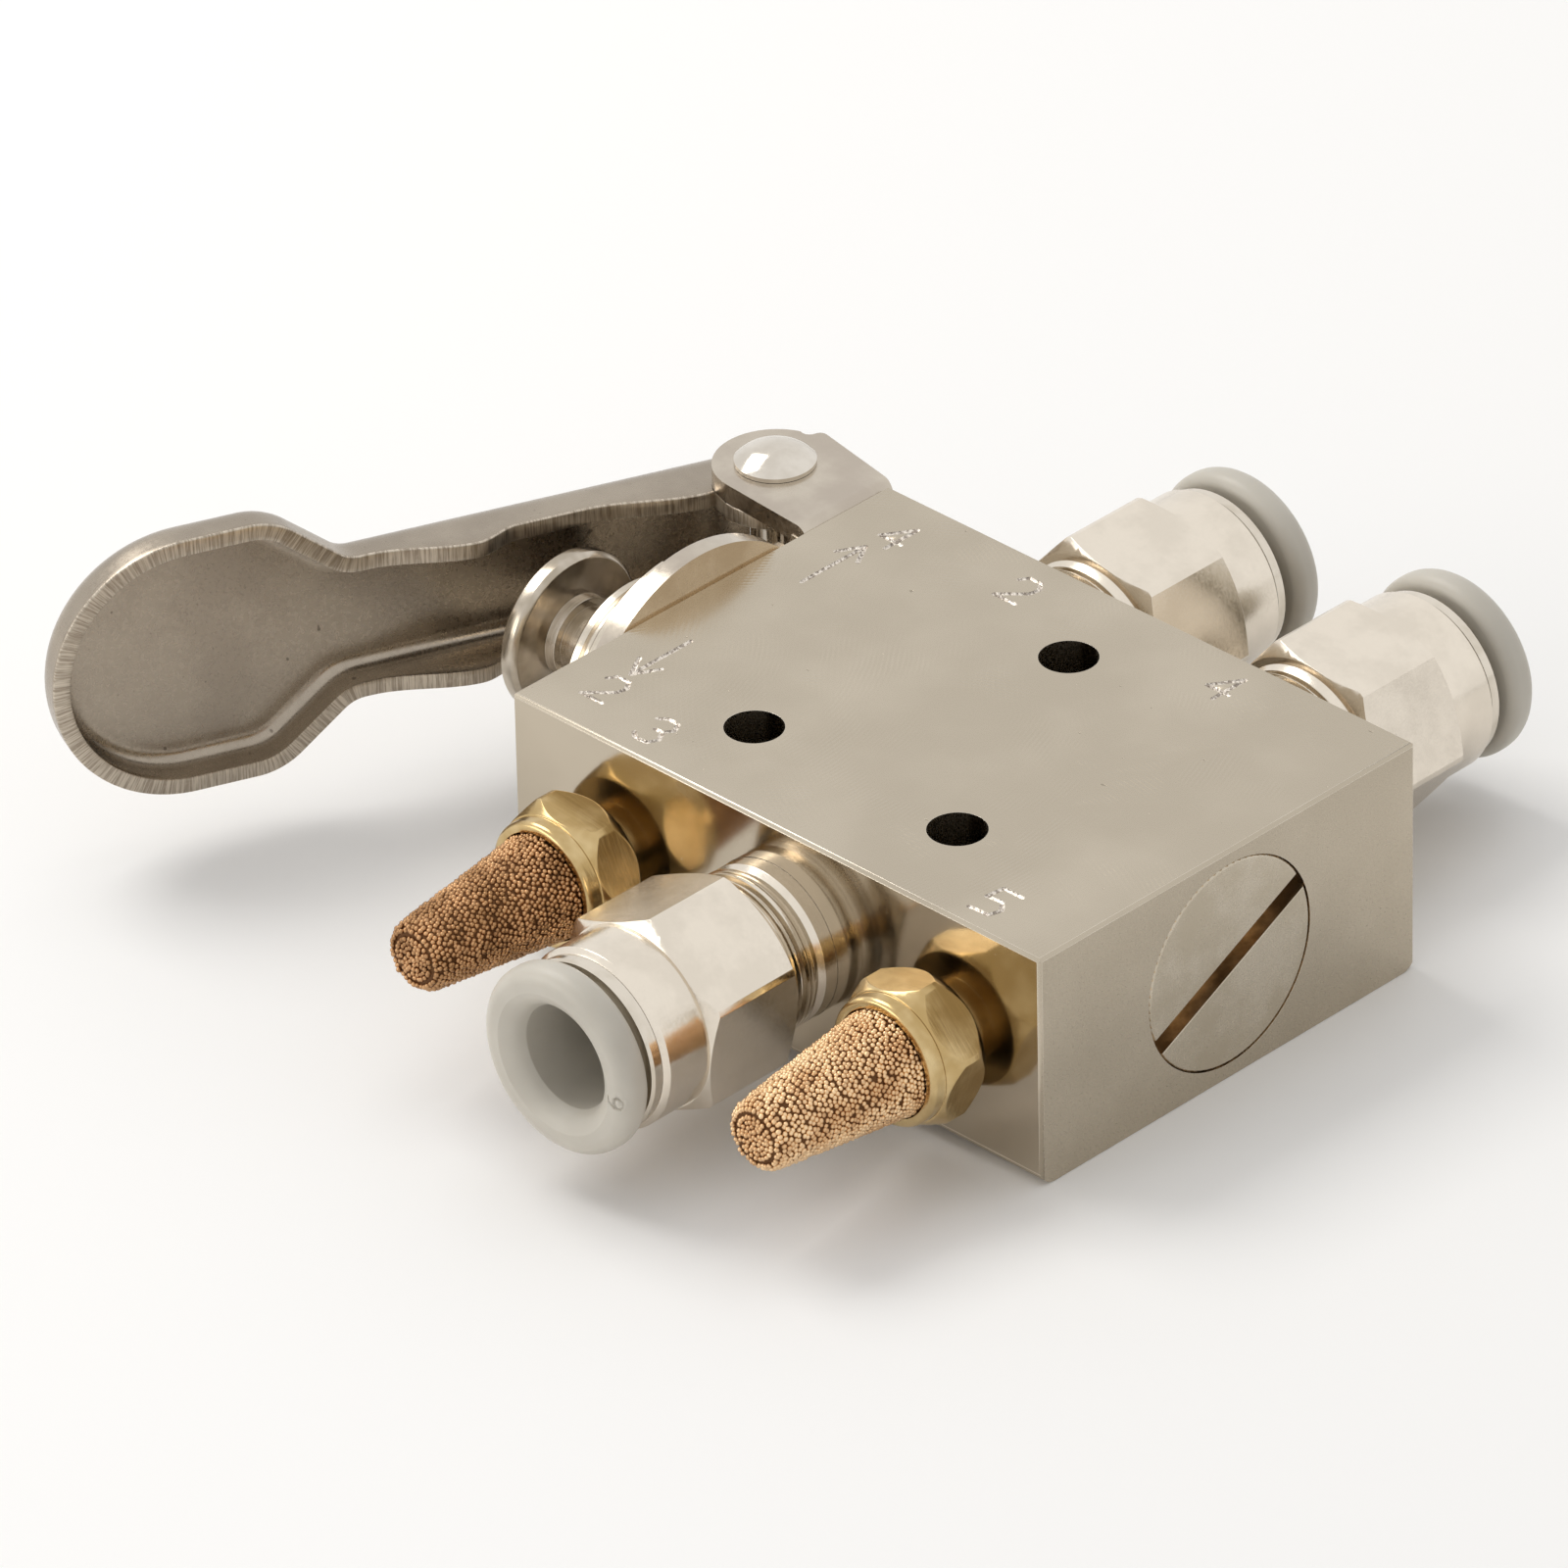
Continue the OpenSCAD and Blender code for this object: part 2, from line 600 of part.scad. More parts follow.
// Spring steel ring with slanted teeth that bite the tube
module grip_ring(x, side) {
    color("#a7a29a") at_port(x, side) translate([0, 0, grip_z]) difference() {
        lathe([[ring_r - 0.9, 0.35], [ring_r - seat, 0.35], [ring_r - seat, 0.65],
            [ring_r - 0.9, 0.65], [tube_r + 0.1, 0.3], [tube_r + 0.1, 0.02],
            [tube_r + 0.2, 0.02]]);
        for (i = [0 : 7]) rotate(45 * i) translate([0, -0.2, -cut])
            cube([ring_r - 0.5, 0.4, 2 * cut + 1]);
    }
}

module tube_seal(x, side) {
    color("#1d1d1d") at_port(x, side) translate([0, 0, tube_stop + 4.8])
        ring(tube_r + 0.64, 1.08);
}

// Plastic sleeve with a rounded flange and a funnel mouth; pushed in, it opens the teeth
module release_ring(x, side) {
    r = release_d / 2;
    top = release_z + release_t;
    color("#d4cfc8") at_port(x, side) lathe(concat(
        [[tube_r, grip_z + 1.5], [sleeve_r - 0.2, grip_z + 1.5], [sleeve_r, grip_z + 1.8],
            [sleeve_r, release_z - 0.1], [sleeve_r + 0.1, release_z], [r - 0.7, release_z]],
        arc([r - 0.7, release_z + 0.7], 0.7, -90, 0, 6),
        arc([r - 0.9, top - 0.9], 0.9, 0, 90, 6),
        [[tube_r + 1.1, top], [tube_r + 0.35, top - 0.5], [tube_r, top - 1.1]]));
}

module silencer_base(x, hex_angle) {
    t = exhaust_d / 2;
    color("#c79a4b") at_port(x, -1) difference() {
        union() {
            translate([0, 0, -exhaust_depth + 0.2]) cylinder(r = t, h = exhaust_depth + brass_neck);
            rotate(hex_angle) turned_hex(brass_w, brass_neck, brass_end, brass_w / 2 - 0.05, 58);
            lathe(concat([[0, brass_end - cut], [lip_r, brass_end - cut]],
                arc([lip_r - 0.35, lip_end - 0.35], 0.35, 0, 90, 5), [[0, lip_end]]));
        }
        translate([0, 0, -exhaust_depth]) cylinder(r = 1.3, h = exhaust_depth + lip_end);
        translate([0, 0, lip_end - 2.2]) cylinder(r = cone_d / 2 + seat, h = 2.2 + cut);
    }
}

// Hollow cone of sintered beads, pressed into the brass base
module silencer_cone(x) {
    r = cone_d / 2;
    r1 = tip_d / 2;
    top = lip_end + cone_l;
    round = 0.9;
    color("#a97c4a") at_port(x, -1) difference() {
        lathe(concat([[0, lip_end - 2.18], [r, lip_end - 2.18], [r, lip_end]],
            arc([r1 - round + 0.08, top - round], round, 8, 90, 6), [[0, top]]));
        translate([0, 0, lip_end - 3]) cylinder(r1 = 2, r2 = 1, h = cone_l + 1.2);
    }
}

valve_body();
end_plug();
plug_seal();
return_spring();
spool();
spool_seals();
plunger_button();
gland_bush();
stem_seal();
gland_seal();
lever_bracket();
lever();
pivot_rivet();
fitting(0, -1, 22.7);  // fitting_p
retainer(0, -1);  // retainer_p
grip_ring(0, -1);  // grip_ring_p
tube_seal(0, -1);  // tube_seal_p
release_ring(0, -1);  // release_ring_p
fitting(outlet_x, 1, 52);  // fitting_a
retainer(outlet_x, 1);  // retainer_a
grip_ring(outlet_x, 1);  // grip_ring_a
tube_seal(outlet_x, 1);  // tube_seal_a
release_ring(outlet_x, 1);  // release_ring_a
fitting(-outlet_x, 1, 49.5);  // fitting_b
retainer(-outlet_x, 1);  // retainer_b
grip_ring(-outlet_x, 1);  // grip_ring_b
tube_seal(-outlet_x, 1);  // tube_seal_b
release_ring(-outlet_x, 1);  // release_ring_b
silencer_base(exhaust_x, 13);  // silencer_base_r1
silencer_cone(exhaust_x);  // silencer_cone_r1
silencer_base(-exhaust_x, -6);  // silencer_base_r2
silencer_cone(-exhaust_x);  // silencer_cone_r2
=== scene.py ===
import json
import math
import random

import bmesh
import bpy
from mathutils import Matrix, Vector

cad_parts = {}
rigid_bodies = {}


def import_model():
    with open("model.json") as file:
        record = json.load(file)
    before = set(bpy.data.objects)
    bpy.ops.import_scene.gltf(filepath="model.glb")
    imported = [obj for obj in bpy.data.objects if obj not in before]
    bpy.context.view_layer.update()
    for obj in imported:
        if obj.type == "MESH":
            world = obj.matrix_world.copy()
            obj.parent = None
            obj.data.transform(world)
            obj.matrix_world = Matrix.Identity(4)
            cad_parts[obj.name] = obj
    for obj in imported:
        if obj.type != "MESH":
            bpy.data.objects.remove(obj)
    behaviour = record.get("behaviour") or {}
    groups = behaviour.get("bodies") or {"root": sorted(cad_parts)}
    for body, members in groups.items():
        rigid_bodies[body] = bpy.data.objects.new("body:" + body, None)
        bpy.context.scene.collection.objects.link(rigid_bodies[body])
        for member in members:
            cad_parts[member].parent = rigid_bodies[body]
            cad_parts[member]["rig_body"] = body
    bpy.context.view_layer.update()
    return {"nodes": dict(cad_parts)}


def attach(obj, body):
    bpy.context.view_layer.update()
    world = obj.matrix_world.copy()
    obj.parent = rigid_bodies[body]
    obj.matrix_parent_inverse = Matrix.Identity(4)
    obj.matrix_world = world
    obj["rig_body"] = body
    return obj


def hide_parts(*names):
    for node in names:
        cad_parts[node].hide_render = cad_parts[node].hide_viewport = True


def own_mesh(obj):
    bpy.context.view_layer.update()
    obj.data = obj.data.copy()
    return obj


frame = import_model()
mm = 0.001
block = dict(length=40.0, width=29.8, height=14.6, axis=7.3)
tubePorts = (("p", 0.0, -1), ("a", 8.1, 1), ("b", -8.1, 1))  # name, place along the block, side
smooth = dict(interpolation_type="SMOOTHSTEP")
colours = dict(data_type="RGBA")


# sRGB hex to linear, as the sockets take it
def linear(code):
    values = [int(code[i:i + 2], 16) / 255 for i in (0, 2, 4)]
    return [v / 12.92 if v <= 0.04045 else ((v + 0.055) / 1.055) ** 2.4 for v in values] + [1]


# adds a node; its inputs come by name or number, or as a list in the order of the sockets
def add(tree, kind, inputs=(), **settings):
    made = tree.nodes.new("ShaderNode" + kind)
    for key, value in settings.items():
        setattr(made, key, value)
    for key, value in (inputs.items() if isinstance(inputs, dict) else enumerate(inputs)):
        if isinstance(value, bpy.types.NodeSocket):
            tree.links.new(value, made.inputs[key])
        else:
            made.inputs[key].default_value = value
    return made


def startMaterial(name):
    made = bpy.data.materials.new(name)
    made.use_nodes = True
    tree = made.node_tree
    tree.nodes.clear()
    out = add(tree, "OutputMaterial")
    shader = add(tree, "BsdfPrincipled")
    tree.links.new(shader.outputs[0], out.inputs["Surface"])
    return made, tree, shader


def finishMaterial(tree, shader, colour, roughness, height=None, distance=0.02, metal=1.0):
    tree.links.new(colour, shader.inputs["Base Color"])
    tree.links.new(roughness, shader.inputs["Roughness"])
    shader.inputs["Metallic"].default_value = metal
    if height is not None:
        bump = add(tree, "Bump", {"Strength": 1.0, "Distance": distance * mm, "Height": height})
        tree.links.new(bump.outputs["Normal"], shader.inputs["Normal"])


# plated or plain metal: two close tones in soft clouds under a grain, which breaks the shine.
# The sizes are in mm; the real grain is finer and is drawn coarser, so that it shows.
def metalMaterial(name, light, dark, roughness, grain, depth, cloud, speck=0.0):
    made, tree, shader = startMaterial(name)
    spot = add(tree, "TexCoord").outputs["Object"]
    clouds = add(tree, "TexNoise", {"Vector": spot, "Scale": 1 / (cloud * mm), "Detail": 4.0,
                                    "Roughness": 0.6}).outputs["Fac"]
    streaks = add(tree, "TexNoise", {"Vector": spot, "Scale": 1 / (grain * mm), "Detail": 2.0,
                                     "Roughness": 0.6}).outputs["Fac"]
    tone = add(tree, "MapRange", [clouds, 0.35, 0.65], **smooth).outputs[0]
    colour = add(tree, "Mix", {0: tone, 6: linear(dark), 7: linear(light)}, **colours).outputs[2]
    tone = add(tree, "MapRange", [streaks, 0.35, 0.75, 0.0, 0.12], **smooth).outputs[0]
    colour = add(tree, "Mix", {0: tone, 6: colour, 7: linear(dark)}, **colours).outputs[2]
    # dark specks of dirt, and a finer, fainter set between them
    specks = ((speck, 1.0, 0.4, 0.775, 0.80, 0.6, "4a4038"),
              (speck * 0.35, 2.0, 0.5, 0.70, 0.78, 0.35, "5d5248"))
    for size, detail, rough, low, high, most, dirt in specks if speck else ():
        spots = add(tree, "TexNoise", {"Vector": spot, "Scale": 1 / (size * mm), "Detail": detail,
                                       "Roughness": rough}).outputs["Fac"]
        tone = add(tree, "MapRange", [spots, low, high, 0.0, most], **smooth).outputs[0]
        colour = add(tree, "Mix", {0: tone, 6: colour, 7: linear(dirt)}, **colours).outputs[2]
    fine = add(tree, "MapRange", [streaks, 0.3, 0.7, roughness - 0.04, roughness + 0.04], **smooth).outputs[0]
    broad = add(tree, "MapRange", [clouds, 0.3, 0.7, -0.03, 0.03], **smooth).outputs[0]
    roughAmount = add(tree, "Math", [fine, broad], operation="ADD").outputs[0]
    finishMaterial(tree, shader, colour, roughAmount, streaks, depth)
    return made


# the block's satin plating: arcs of milling marks in patches on the top, tiny nicks, a glossier
# supply side. The real milling marks are finer and are drawn coarser, so that they show.
def bodyMaterial():
    made, tree, shader = startMaterial("satinNickelPlate")
    spot = add(tree, "TexCoord").outputs["Object"]
    clouds = add(tree, "TexNoise", {"Vector": spot, "Scale": 1 / (9.0 * mm), "Detail": 3.0,
                                    "Roughness": 0.5}).outputs["Fac"]
    tone = add(tree, "MapRange", [clouds, 0.35, 0.7], **smooth).outputs[0]
    colour = add(tree, "Mix", {0: tone, 6: linear("b7ac9a"), 7: linear("c0b5a3")}, **colours).outputs[2]
    choice = add(tree, "TexNoise", {"Vector": spot, "Scale": 1 / (7.0 * mm), "Detail": 1.0,
                                    "Roughness": 0.4, "Distortion": 0.5}).outputs["Fac"]
    shares = [add(tree, "MapRange", [choice, 0.50, 0.56], **smooth).outputs[0],
              add(tree, "MapRange", [choice, 0.46, 0.40], **smooth).outputs[0], 0.35]
    arcs = 0.0
    for share, centre, period, wobble in zip(shares, ((-21, -9, 14.6), (9, -24, 14.6), (16, 20, 14.6)),
                                             (0.28, 0.30, 0.33), (2.2, 2.2, 2.0)):
        vector = add(tree, "Mapping", {"Vector": spot, "Location": [-c * mm for c in centre]}).outputs[0]
        marks = add(tree, "TexWave", {"Vector": vector, "Scale": 0.314 / (period * mm), "Distortion": wobble,
                                      "Detail": 2.0, "Detail Scale": 0.6},
                    wave_type="RINGS", rings_direction="Z", wave_profile="SIN").outputs["Fac"]
        marks = add(tree, "Math", [marks, share], operation="MULTIPLY").outputs[0]
        arcs = add(tree, "Math", [arcs, marks], operation="ADD").outputs[0]
    vector = add(tree, "Mapping", {"Vector": spot, "Location": (0.05, 0.02, 0)}).outputs[0]
    patches = add(tree, "TexNoise", {"Vector": vector, "Scale": 1 / (4.5 * mm), "Detail": 2.0,
                                     "Roughness": 0.5}).outputs["Fac"]
    strength = add(tree, "MapRange", [patches, 0.38, 0.62], **smooth).outputs[0]
    arcs = add(tree, "Math", [arcs, strength], operation="MULTIPLY").outputs[0]
    grain = add(tree, "TexNoise", {"Vector": spot, "Scale": 1 / (0.16 * mm), "Detail": 3.0,
                                   "Roughness": 0.6}).outputs["Fac"]
    vector = add(tree, "Mapping", {"Vector": spot, "Scale": (1, 1.8, 1)}).outputs[0]
    dents = add(tree, "TexNoise", {"Vector": vector, "Scale": 1 / (0.9 * mm), "Detail": 2.0,
                                   "Roughness": 0.5}).outputs["Fac"]
    nicks = add(tree, "MapRange", [dents, 0.755, 0.775], **smooth).outputs[0]
    tone = add(tree, "Math", [nicks, 0.6], operation="MULTIPLY").outputs[0]
    colour = add(tree, "Mix", {0: tone, 6: colour, 7: linear("857a6a")}, **colours).outputs[2]
    faces = add(tree, "SeparateXYZ", [add(tree, "NewGeometry").outputs["Normal"]]).outputs
    top = add(tree, "MapRange", [faces["Z"], 0.9, 0.99], **smooth).outputs[0]
    front = add(tree, "Math", [faces["Y"], -1.0], operation="MULTIPLY").outputs[0]
    front = add(tree, "MapRange", [front, 0.9, 0.99], **smooth).outputs[0]
    gloss = add(tree, "Math", [front, 0.14], operation="MULTIPLY").outputs[0]
    satin = add(tree, "MapRange", [grain, 0.3, 0.7, 0.25, 0.28], **smooth).outputs[0]
    rough = add(tree, "Math", [satin, gloss], operation="SUBTRACT").outputs[0]
    height = add(tree, "Math", [arcs, top], operation="MULTIPLY").outputs[0]
    height = add(tree, "Math", [height, 2.1], operation="MULTIPLY").outputs[0]
    grit = add(tree, "Math", [grain, 0.05], operation="MULTIPLY").outputs[0]
    height = add(tree, "Math", [height, grit], operation="ADD").outputs[0]
    pits = add(tree, "Math", [nicks, 1.5], operation="MULTIPLY").outputs[0]
    height = add(tree, "Math", [height, pits], operation="SUBTRACT").outputs[0]
    finishMaterial(tree, shader, colour, rough, height, 0.006)
    return made


# cut marks: bright broken metal, chattered across the stroke
def engravedMaterial():
    made, tree, shader = startMaterial("engravedNickel")
    spot = add(tree, "TexCoord").outputs["Object"]
    chatter = add(tree, "TexNoise", {"Vector": spot, "Scale": 1 / (0.22 * mm), "Detail": 2.0,
                                     "Roughness": 0.7}).outputs["Fac"]
    tone = add(tree, "MapRange", [chatter, 0.4, 0.6], **smooth).outputs[0]
    colour = add(tree, "Mix", {0: tone, 6: linear("a2968a"), 7: linear("efe6da")}, **colours).outputs[2]
    rough = add(tree, "MapRange", [chatter, 0.3, 0.7, 0.25, 0.45], **smooth).outputs[0]
    finishMaterial(tree, shader, colour, rough, chatter, 0.05)
    return made


# turned metal: fine rings about an axis, on a coat whose tone drifts slowly. The real rings are
# finer and are drawn coarser, so that they show.
def turnedMaterial(name, light, dark, roughness, axis, period=0.12, depth=0.003):
    made, tree, shader = startMaterial(name)
    spot = add(tree, "TexCoord").outputs["Object"]
    clouds = add(tree, "TexNoise", {"Vector": spot, "Scale": 1 / (3.0 * mm), "Detail": 3.0,
                                    "Roughness": 0.6}).outputs["Fac"]
    scale = {"X": (1, 0.05, 0.05), "Y": (0.05, 1, 0.05)}[axis]
    vector = add(tree, "Mapping", {"Vector": spot, "Scale": scale}).outputs[0]
    lines = add(tree, "TexNoise", {"Vector": vector, "Scale": 1 / (period * mm), "Detail": 2.0,
                                   "Roughness": 0.7}).outputs["Fac"]
    tone = add(tree, "MapRange", [clouds, 0.35, 0.65], **smooth).outputs[0]
    colour = add(tree, "Mix", {0: tone, 6: linear(dark), 7: linear(light)}, **colours).outputs[2]
    rough = add(tree, "MapRange", [lines, 0.3, 0.7, roughness - 0.05, roughness + 0.05], **smooth).outputs[0]
    finishMaterial(tree, shader, colour, rough, lines, depth)
    return made


# sheared sheet edge: streaks across the thickness, from the piece's own map
def shearedMaterial():
    made, tree, shader = startMaterial("shearedNickelEdge")
    edge = add(tree, "UVMap", uv_map="along").outputs["UV"]
    vector = add(tree, "Mapping", {"Vector": edge, "Scale": (1, 0.1, 1)}).outputs[0]
    streaks = add(tree, "TexNoise", {"Vector": vector, "Scale": 1 / (0.11 * mm), "Detail": 3.0,
                                     "Roughness": 0.7}).outputs["Fac"]
    spot = add(tree, "TexCoord").outputs["Object"]
    burr = add(tree, "TexNoise", {"Vector": spot, "Scale": 1 / (0.35 * mm), "Detail": 2.0,
                                  "Roughness": 0.6}).outputs["Fac"]
    tone = add(tree, "MapRange", [streaks, 0.38, 0.62], **smooth).outputs[0]
    colour = add(tree, "Mix", {0: tone, 6: linear("978b7c"), 7: linear("c9beae")}, **colours).outputs[2]
    tone = add(tree, "MapRange", [burr, 0.55, 0.75, 0.0, 0.5], **smooth).outputs[0]
    colour = add(tree, "Mix", {0: tone, 6: colour, 7: linear("b9ad9d")}, **colours).outputs[2]
    rough = add(tree, "MapRange", [streaks, 0.3, 0.7, 0.3, 0.4], **smooth).outputs[0]
    finishMaterial(tree, shader, colour, rough, streaks, 0.012)
    return made


# satin moulded plastic, grey-white: light sinks in a little and softens the ring's mouth
def plasticMaterial():
    made, tree, shader = startMaterial("mouldedPolymer")
    spot = add(tree, "TexCoord").outputs["Object"]
    clouds = add(tree, "TexNoise", {"Vector": spot, "Scale": 1 / (4.0 * mm), "Detail": 3.0,
                                    "Roughness": 0.5}).outputs["Fac"]
    grain = add(tree, "TexNoise", {"Vector": spot, "Scale": 1 / (0.12 * mm), "Detail": 2.0,
                                   "Roughness": 0.5}).outputs["Fac"]
    tone = add(tree, "MapRange", [clouds, 0.3, 0.7], **smooth).outputs[0]
    colour = add(tree, "Mix", {0: tone, 6: linear("beb8ac"), 7: linear("c6c0b4")}, **colours).outputs[2]
    rough = add(tree, "MapRange", [grain, 0.3, 0.7, 0.38, 0.46], **smooth).outputs[0]
    finishMaterial(tree, shader, colour, rough, grain, 0.003, 0.0)
    shader.inputs["Subsurface Weight"].default_value = 0.12
    shader.inputs["Subsurface Radius"].default_value = (1, 0.8, 0.6)
    shader.inputs["Subsurface Scale"].default_value = 0.5 * mm
    return made


# one soft noise between two tones, with its own roughness and bump: rubber seals, and the shade
# in the pores of the sintered cones
def grainMaterial(name, dark, light, size, detail, rough, depth, metal):
    made, tree, shader = startMaterial(name)
    spot = add(tree, "TexCoord").outputs["Object"]
    grain = add(tree, "TexNoise", {"Vector": spot, "Scale": 1 / (size * mm), "Detail": detail,
                                   "Roughness": 0.6}).outputs["Fac"]
    colour = add(tree, "Mix", {0: grain, 6: linear(dark), 7: linear(light)}, **colours).outputs[2]
    roughAmount = add(tree, "MapRange", [grain, 0.3, 0.7, *rough], **smooth).outputs[0]
    finishMaterial(tree, shader, colour, roughAmount, grain, depth, metal)
    return made


# sintered bronze beads: bare, a little oxidised, each bead glints on its own
def beadMaterial(name, light, dark, deep):
    made, tree, shader = startMaterial(name)
    spot = add(tree, "TexCoord").outputs["Object"]
    clouds = add(tree, "TexNoise", {"Vector": spot, "Scale": 1 / (2.2 * mm), "Detail": 3.0,
                                    "Roughness": 0.6}).outputs["Fac"]
    grain = add(tree, "TexNoise", {"Vector": spot, "Scale": 1 / (0.5 * mm), "Detail": 2.0,
                                   "Roughness": 0.6}).outputs["Fac"]
    tone = add(tree, "MapRange", [clouds, 0.35, 0.65], **smooth).outputs[0]
    colour = add(tree, "Mix", {0: tone, 6: linear(dark), 7: linear(light)}, **colours).outputs[2]
    tone = add(tree, "MapRange", [grain, 0.5, 0.8, 0.0, 0.6], **smooth).outputs[0]
    colour = add(tree, "Mix", {0: tone, 6: colour, 7: linear(deep)}, **colours).outputs[2]
    rough = add(tree, "MapRange", [grain, 0.3, 0.7, 0.28, 0.42], **smooth).outputs[0]
    finishMaterial(tree, shader, colour, rough, grain, 0.004)
    return made


print("materials")
nickelBody = bodyMaterial()
engraved = engravedMaterial()
sheared = shearedMaterial()
# name, light and dark tone, roughness, grain in mm, its depth, size of the clouds, size of specks
nickelFitting = metalMaterial("brightNickelPlate", "e6dccd", "ddd3c4", 0.2, 0.2, 0.003, 3.0)
plugSteel = metalMaterial("plugNickelPlate", "c6bcab", "bbb09d", 0.26, 0.18, 0.003, 4.0)
leverSteel = metalMaterial("tumbledNickelSheet", "a89d8e", "9b9082", 0.27, 0.3, 0.004, 6.0, 0.8)
bracketSteel = metalMaterial("tumbledNickelBracket", "c9bfb0", "b9aea0", 0.22, 0.35, 0.004, 5.0)
rivetSteel = metalMaterial("polishedRivetSteel", "ded7cc", "cfc7bb", 0.13, 0.5, 0.006, 3.0)
# a lighter, warmer tone for the bracket's faces turned to the block
lighterWarmNickel = metalMaterial("lighterWarmNickelBracket", "e8d8c1", "d8c6ac", 0.24, 0.35, 0.004, 4.0)
# a darker golden tone for the plug's recessed slot: painted shade
slotPaintedShade = metalMaterial("slotPaintedShade", "cdb28c", "8f7a5e", 0.4, 0.3, 0.01, 2.0)
# a lighter tone for the block's edge bevels: painted highlight
edgeHighlight = metalMaterial("highlightNickelEdge", "f4ecdf", "e4dacb", 0.2, 0.3, 0.004, 3.0)
springSteel = metalMaterial("springWire", "b5b0a8", "98928a", 0.25, 0.2, 0.003, 2.0)
# name, light and dark tone, roughness, axis of turning
nickelTurned = turnedMaterial("turnedNickelPlate", "ddd4c6", "cdc3b3", 0.16, "Y")
nickelBush = turnedMaterial("turnedBushPlate", "d6ccbd", "c0b5a4", 0.18, "X")
buttonSteel = turnedMaterial("turnedButtonSteel", "c9bfb1", "ada291", 0.22, "X")
spoolAlloy = turnedMaterial("turnedSpoolAlloy", "bdbab5", "a5a19b", 0.25, "X")
brassTurned = turnedMaterial("turnedBrass", "d3bb8c", "b89c69", 0.22, "Y", 0.16, 0.006)
# the r2 cone's beads are painted darker than r1's: painted shade
bronze = {"r1": beadMaterial("sinteredBronze", "f0d0a6", "d2aa7e", "99704c"),
          "r2": beadMaterial("shadedSinteredBronze", "c89d72", "9c7651", "704b32")}
pores = grainMaterial("bronzePores", "4a301d", "7a5638", 0.4, 2.0, (0.5, 0.7), 0.01, 1.0)
plastic = plasticMaterial()
rubber = grainMaterial("nitrileRubber", "1b1b1b", "2b2a29", 0.1, 3.0, (0.45, 0.6), 0.004, 0.0)

nodeMaterials = {
    "valve_body": nickelBody, "end_plug": plugSteel, "plug_seal": rubber, "return_spring": springSteel,
    "spool": spoolAlloy, "spool_seals": rubber, "plunger_button": buttonSteel, "gland_bush": nickelBush,
    "stem_seal": rubber, "gland_seal": rubber, "lever_bracket": bracketSteel, "lever": leverSteel,
    "pivot_rivet": rivetSteel,
}
for port in "pab":
    nodeMaterials["fitting_" + port] = nickelFitting
    nodeMaterials["retainer_" + port] = nickelTurned
    nodeMaterials["grip_ring_" + port] = springSteel
    nodeMaterials["tube_seal_" + port] = rubber
    nodeMaterials["release_ring_" + port] = plastic
for port in ("r1", "r2"):
    nodeMaterials["silencer_base_" + port] = brassTurned
    nodeMaterials["silencer_cone_" + port] = pores
for name, material in nodeMaterials.items():
    piece = frame["nodes"][name]
    piece.data.materials.clear()
    piece.data.materials.append(material)


# a finished piece on the body of its node; edges turned by more than sharp degrees stay crisp
def newPiece(name, mesh, materials, node, sharp=32):
    piece = bpy.data.objects.new(name, mesh)
    bpy.context.scene.collection.objects.link(piece)
    for material in materials:
        if material.name not in mesh.materials:
            mesh.materials.append(material)
    mesh.shade_smooth()
    mesh.set_sharp_from_angle(angle=math.radians(sharp))
    # large flat faces keep their own normal, narrow bevels take up the turn
    weights = piece.modifiers.new("normals", "WEIGHTED_NORMAL")
    weights.keep_sharp = True
    weights.weight = 100
    shape = piece.evaluated_get(bpy.context.evaluated_depsgraph_get())
    piece.data = bpy.data.meshes.new_from_object(shape)
    piece.modifiers.clear()
    piece.data.name = name
    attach(piece, frame["nodes"][node]["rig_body"])
    return piece


# a copy of a node's mesh with its sharp edges broken by a narrow bevel
def softCopy(node, width, only=None):
    mesh = frame["nodes"][node].data.copy()
    mesh.name = node + "Soft"
    made = bmesh.new()
    made.from_mesh(mesh)
    bmesh.ops.remove_doubles(made, verts=made.verts, dist=1e-7)
    bmesh.ops.dissolve_limit(made, angle_limit=math.radians(0.5), use_dissolve_boundaries=False,
                             verts=made.verts, edges=made.edges)
    sharp = [e for e in made.edges if len(e.link_faces) == 2 and e.calc_face_angle(0) > math.radians(28)
             and (only is None or all(only(v.co / mm) for v in e.verts))]
    bmesh.ops.bevel(made, geom=sharp, offset=width * mm, offset_type="OFFSET", segments=2, profile=0.5,
                    affect="EDGES", clamp_overlap=True, material=-1)
    bmesh.ops.recalc_face_normals(made, faces=made.faces)
    made.to_mesh(mesh)
    made.free()
    mesh.materials.clear()
    return mesh


def meshOf(made, name):
    bmesh.ops.recalc_face_normals(made, faces=made.faces)
    mesh = bpy.data.meshes.new(name)
    made.to_mesh(mesh)
    made.free()
    return mesh


# removes what the cutter covers; cut faces take the material
def carve(mesh, cutter, material):
    cutter.materials.append(material)
    work = [bpy.data.objects.new("work", m) for m in (mesh, cutter)]
    for item in work:
        bpy.context.scene.collection.objects.link(item)
    step = work[0].modifiers.new("carve", "BOOLEAN")
    step.operation = "DIFFERENCE"
    step.object = work[1]
    step.solver = "EXACT"
    step.material_mode = "TRANSFER"
    shape = work[0].evaluated_get(bpy.context.evaluated_depsgraph_get())
    result = bpy.data.meshes.new_from_object(shape)
    for item in work:
        bpy.data.objects.remove(item)
    return result


print("marked block")
markSize = dict(width=0.3, depth=0.14, tall=2.6, wide=1.6, sides=6, above=0.2, narrow=0.4, soft=0.08)
signPlaces = (("4", -15.8, 11.2), ("2", -16.4, -11.0), ("3", -11.4, -12.3),
              ("5", 14.3, -12.3), ("2", -6.8, 11.8), ("4", 8.4, 12.0))
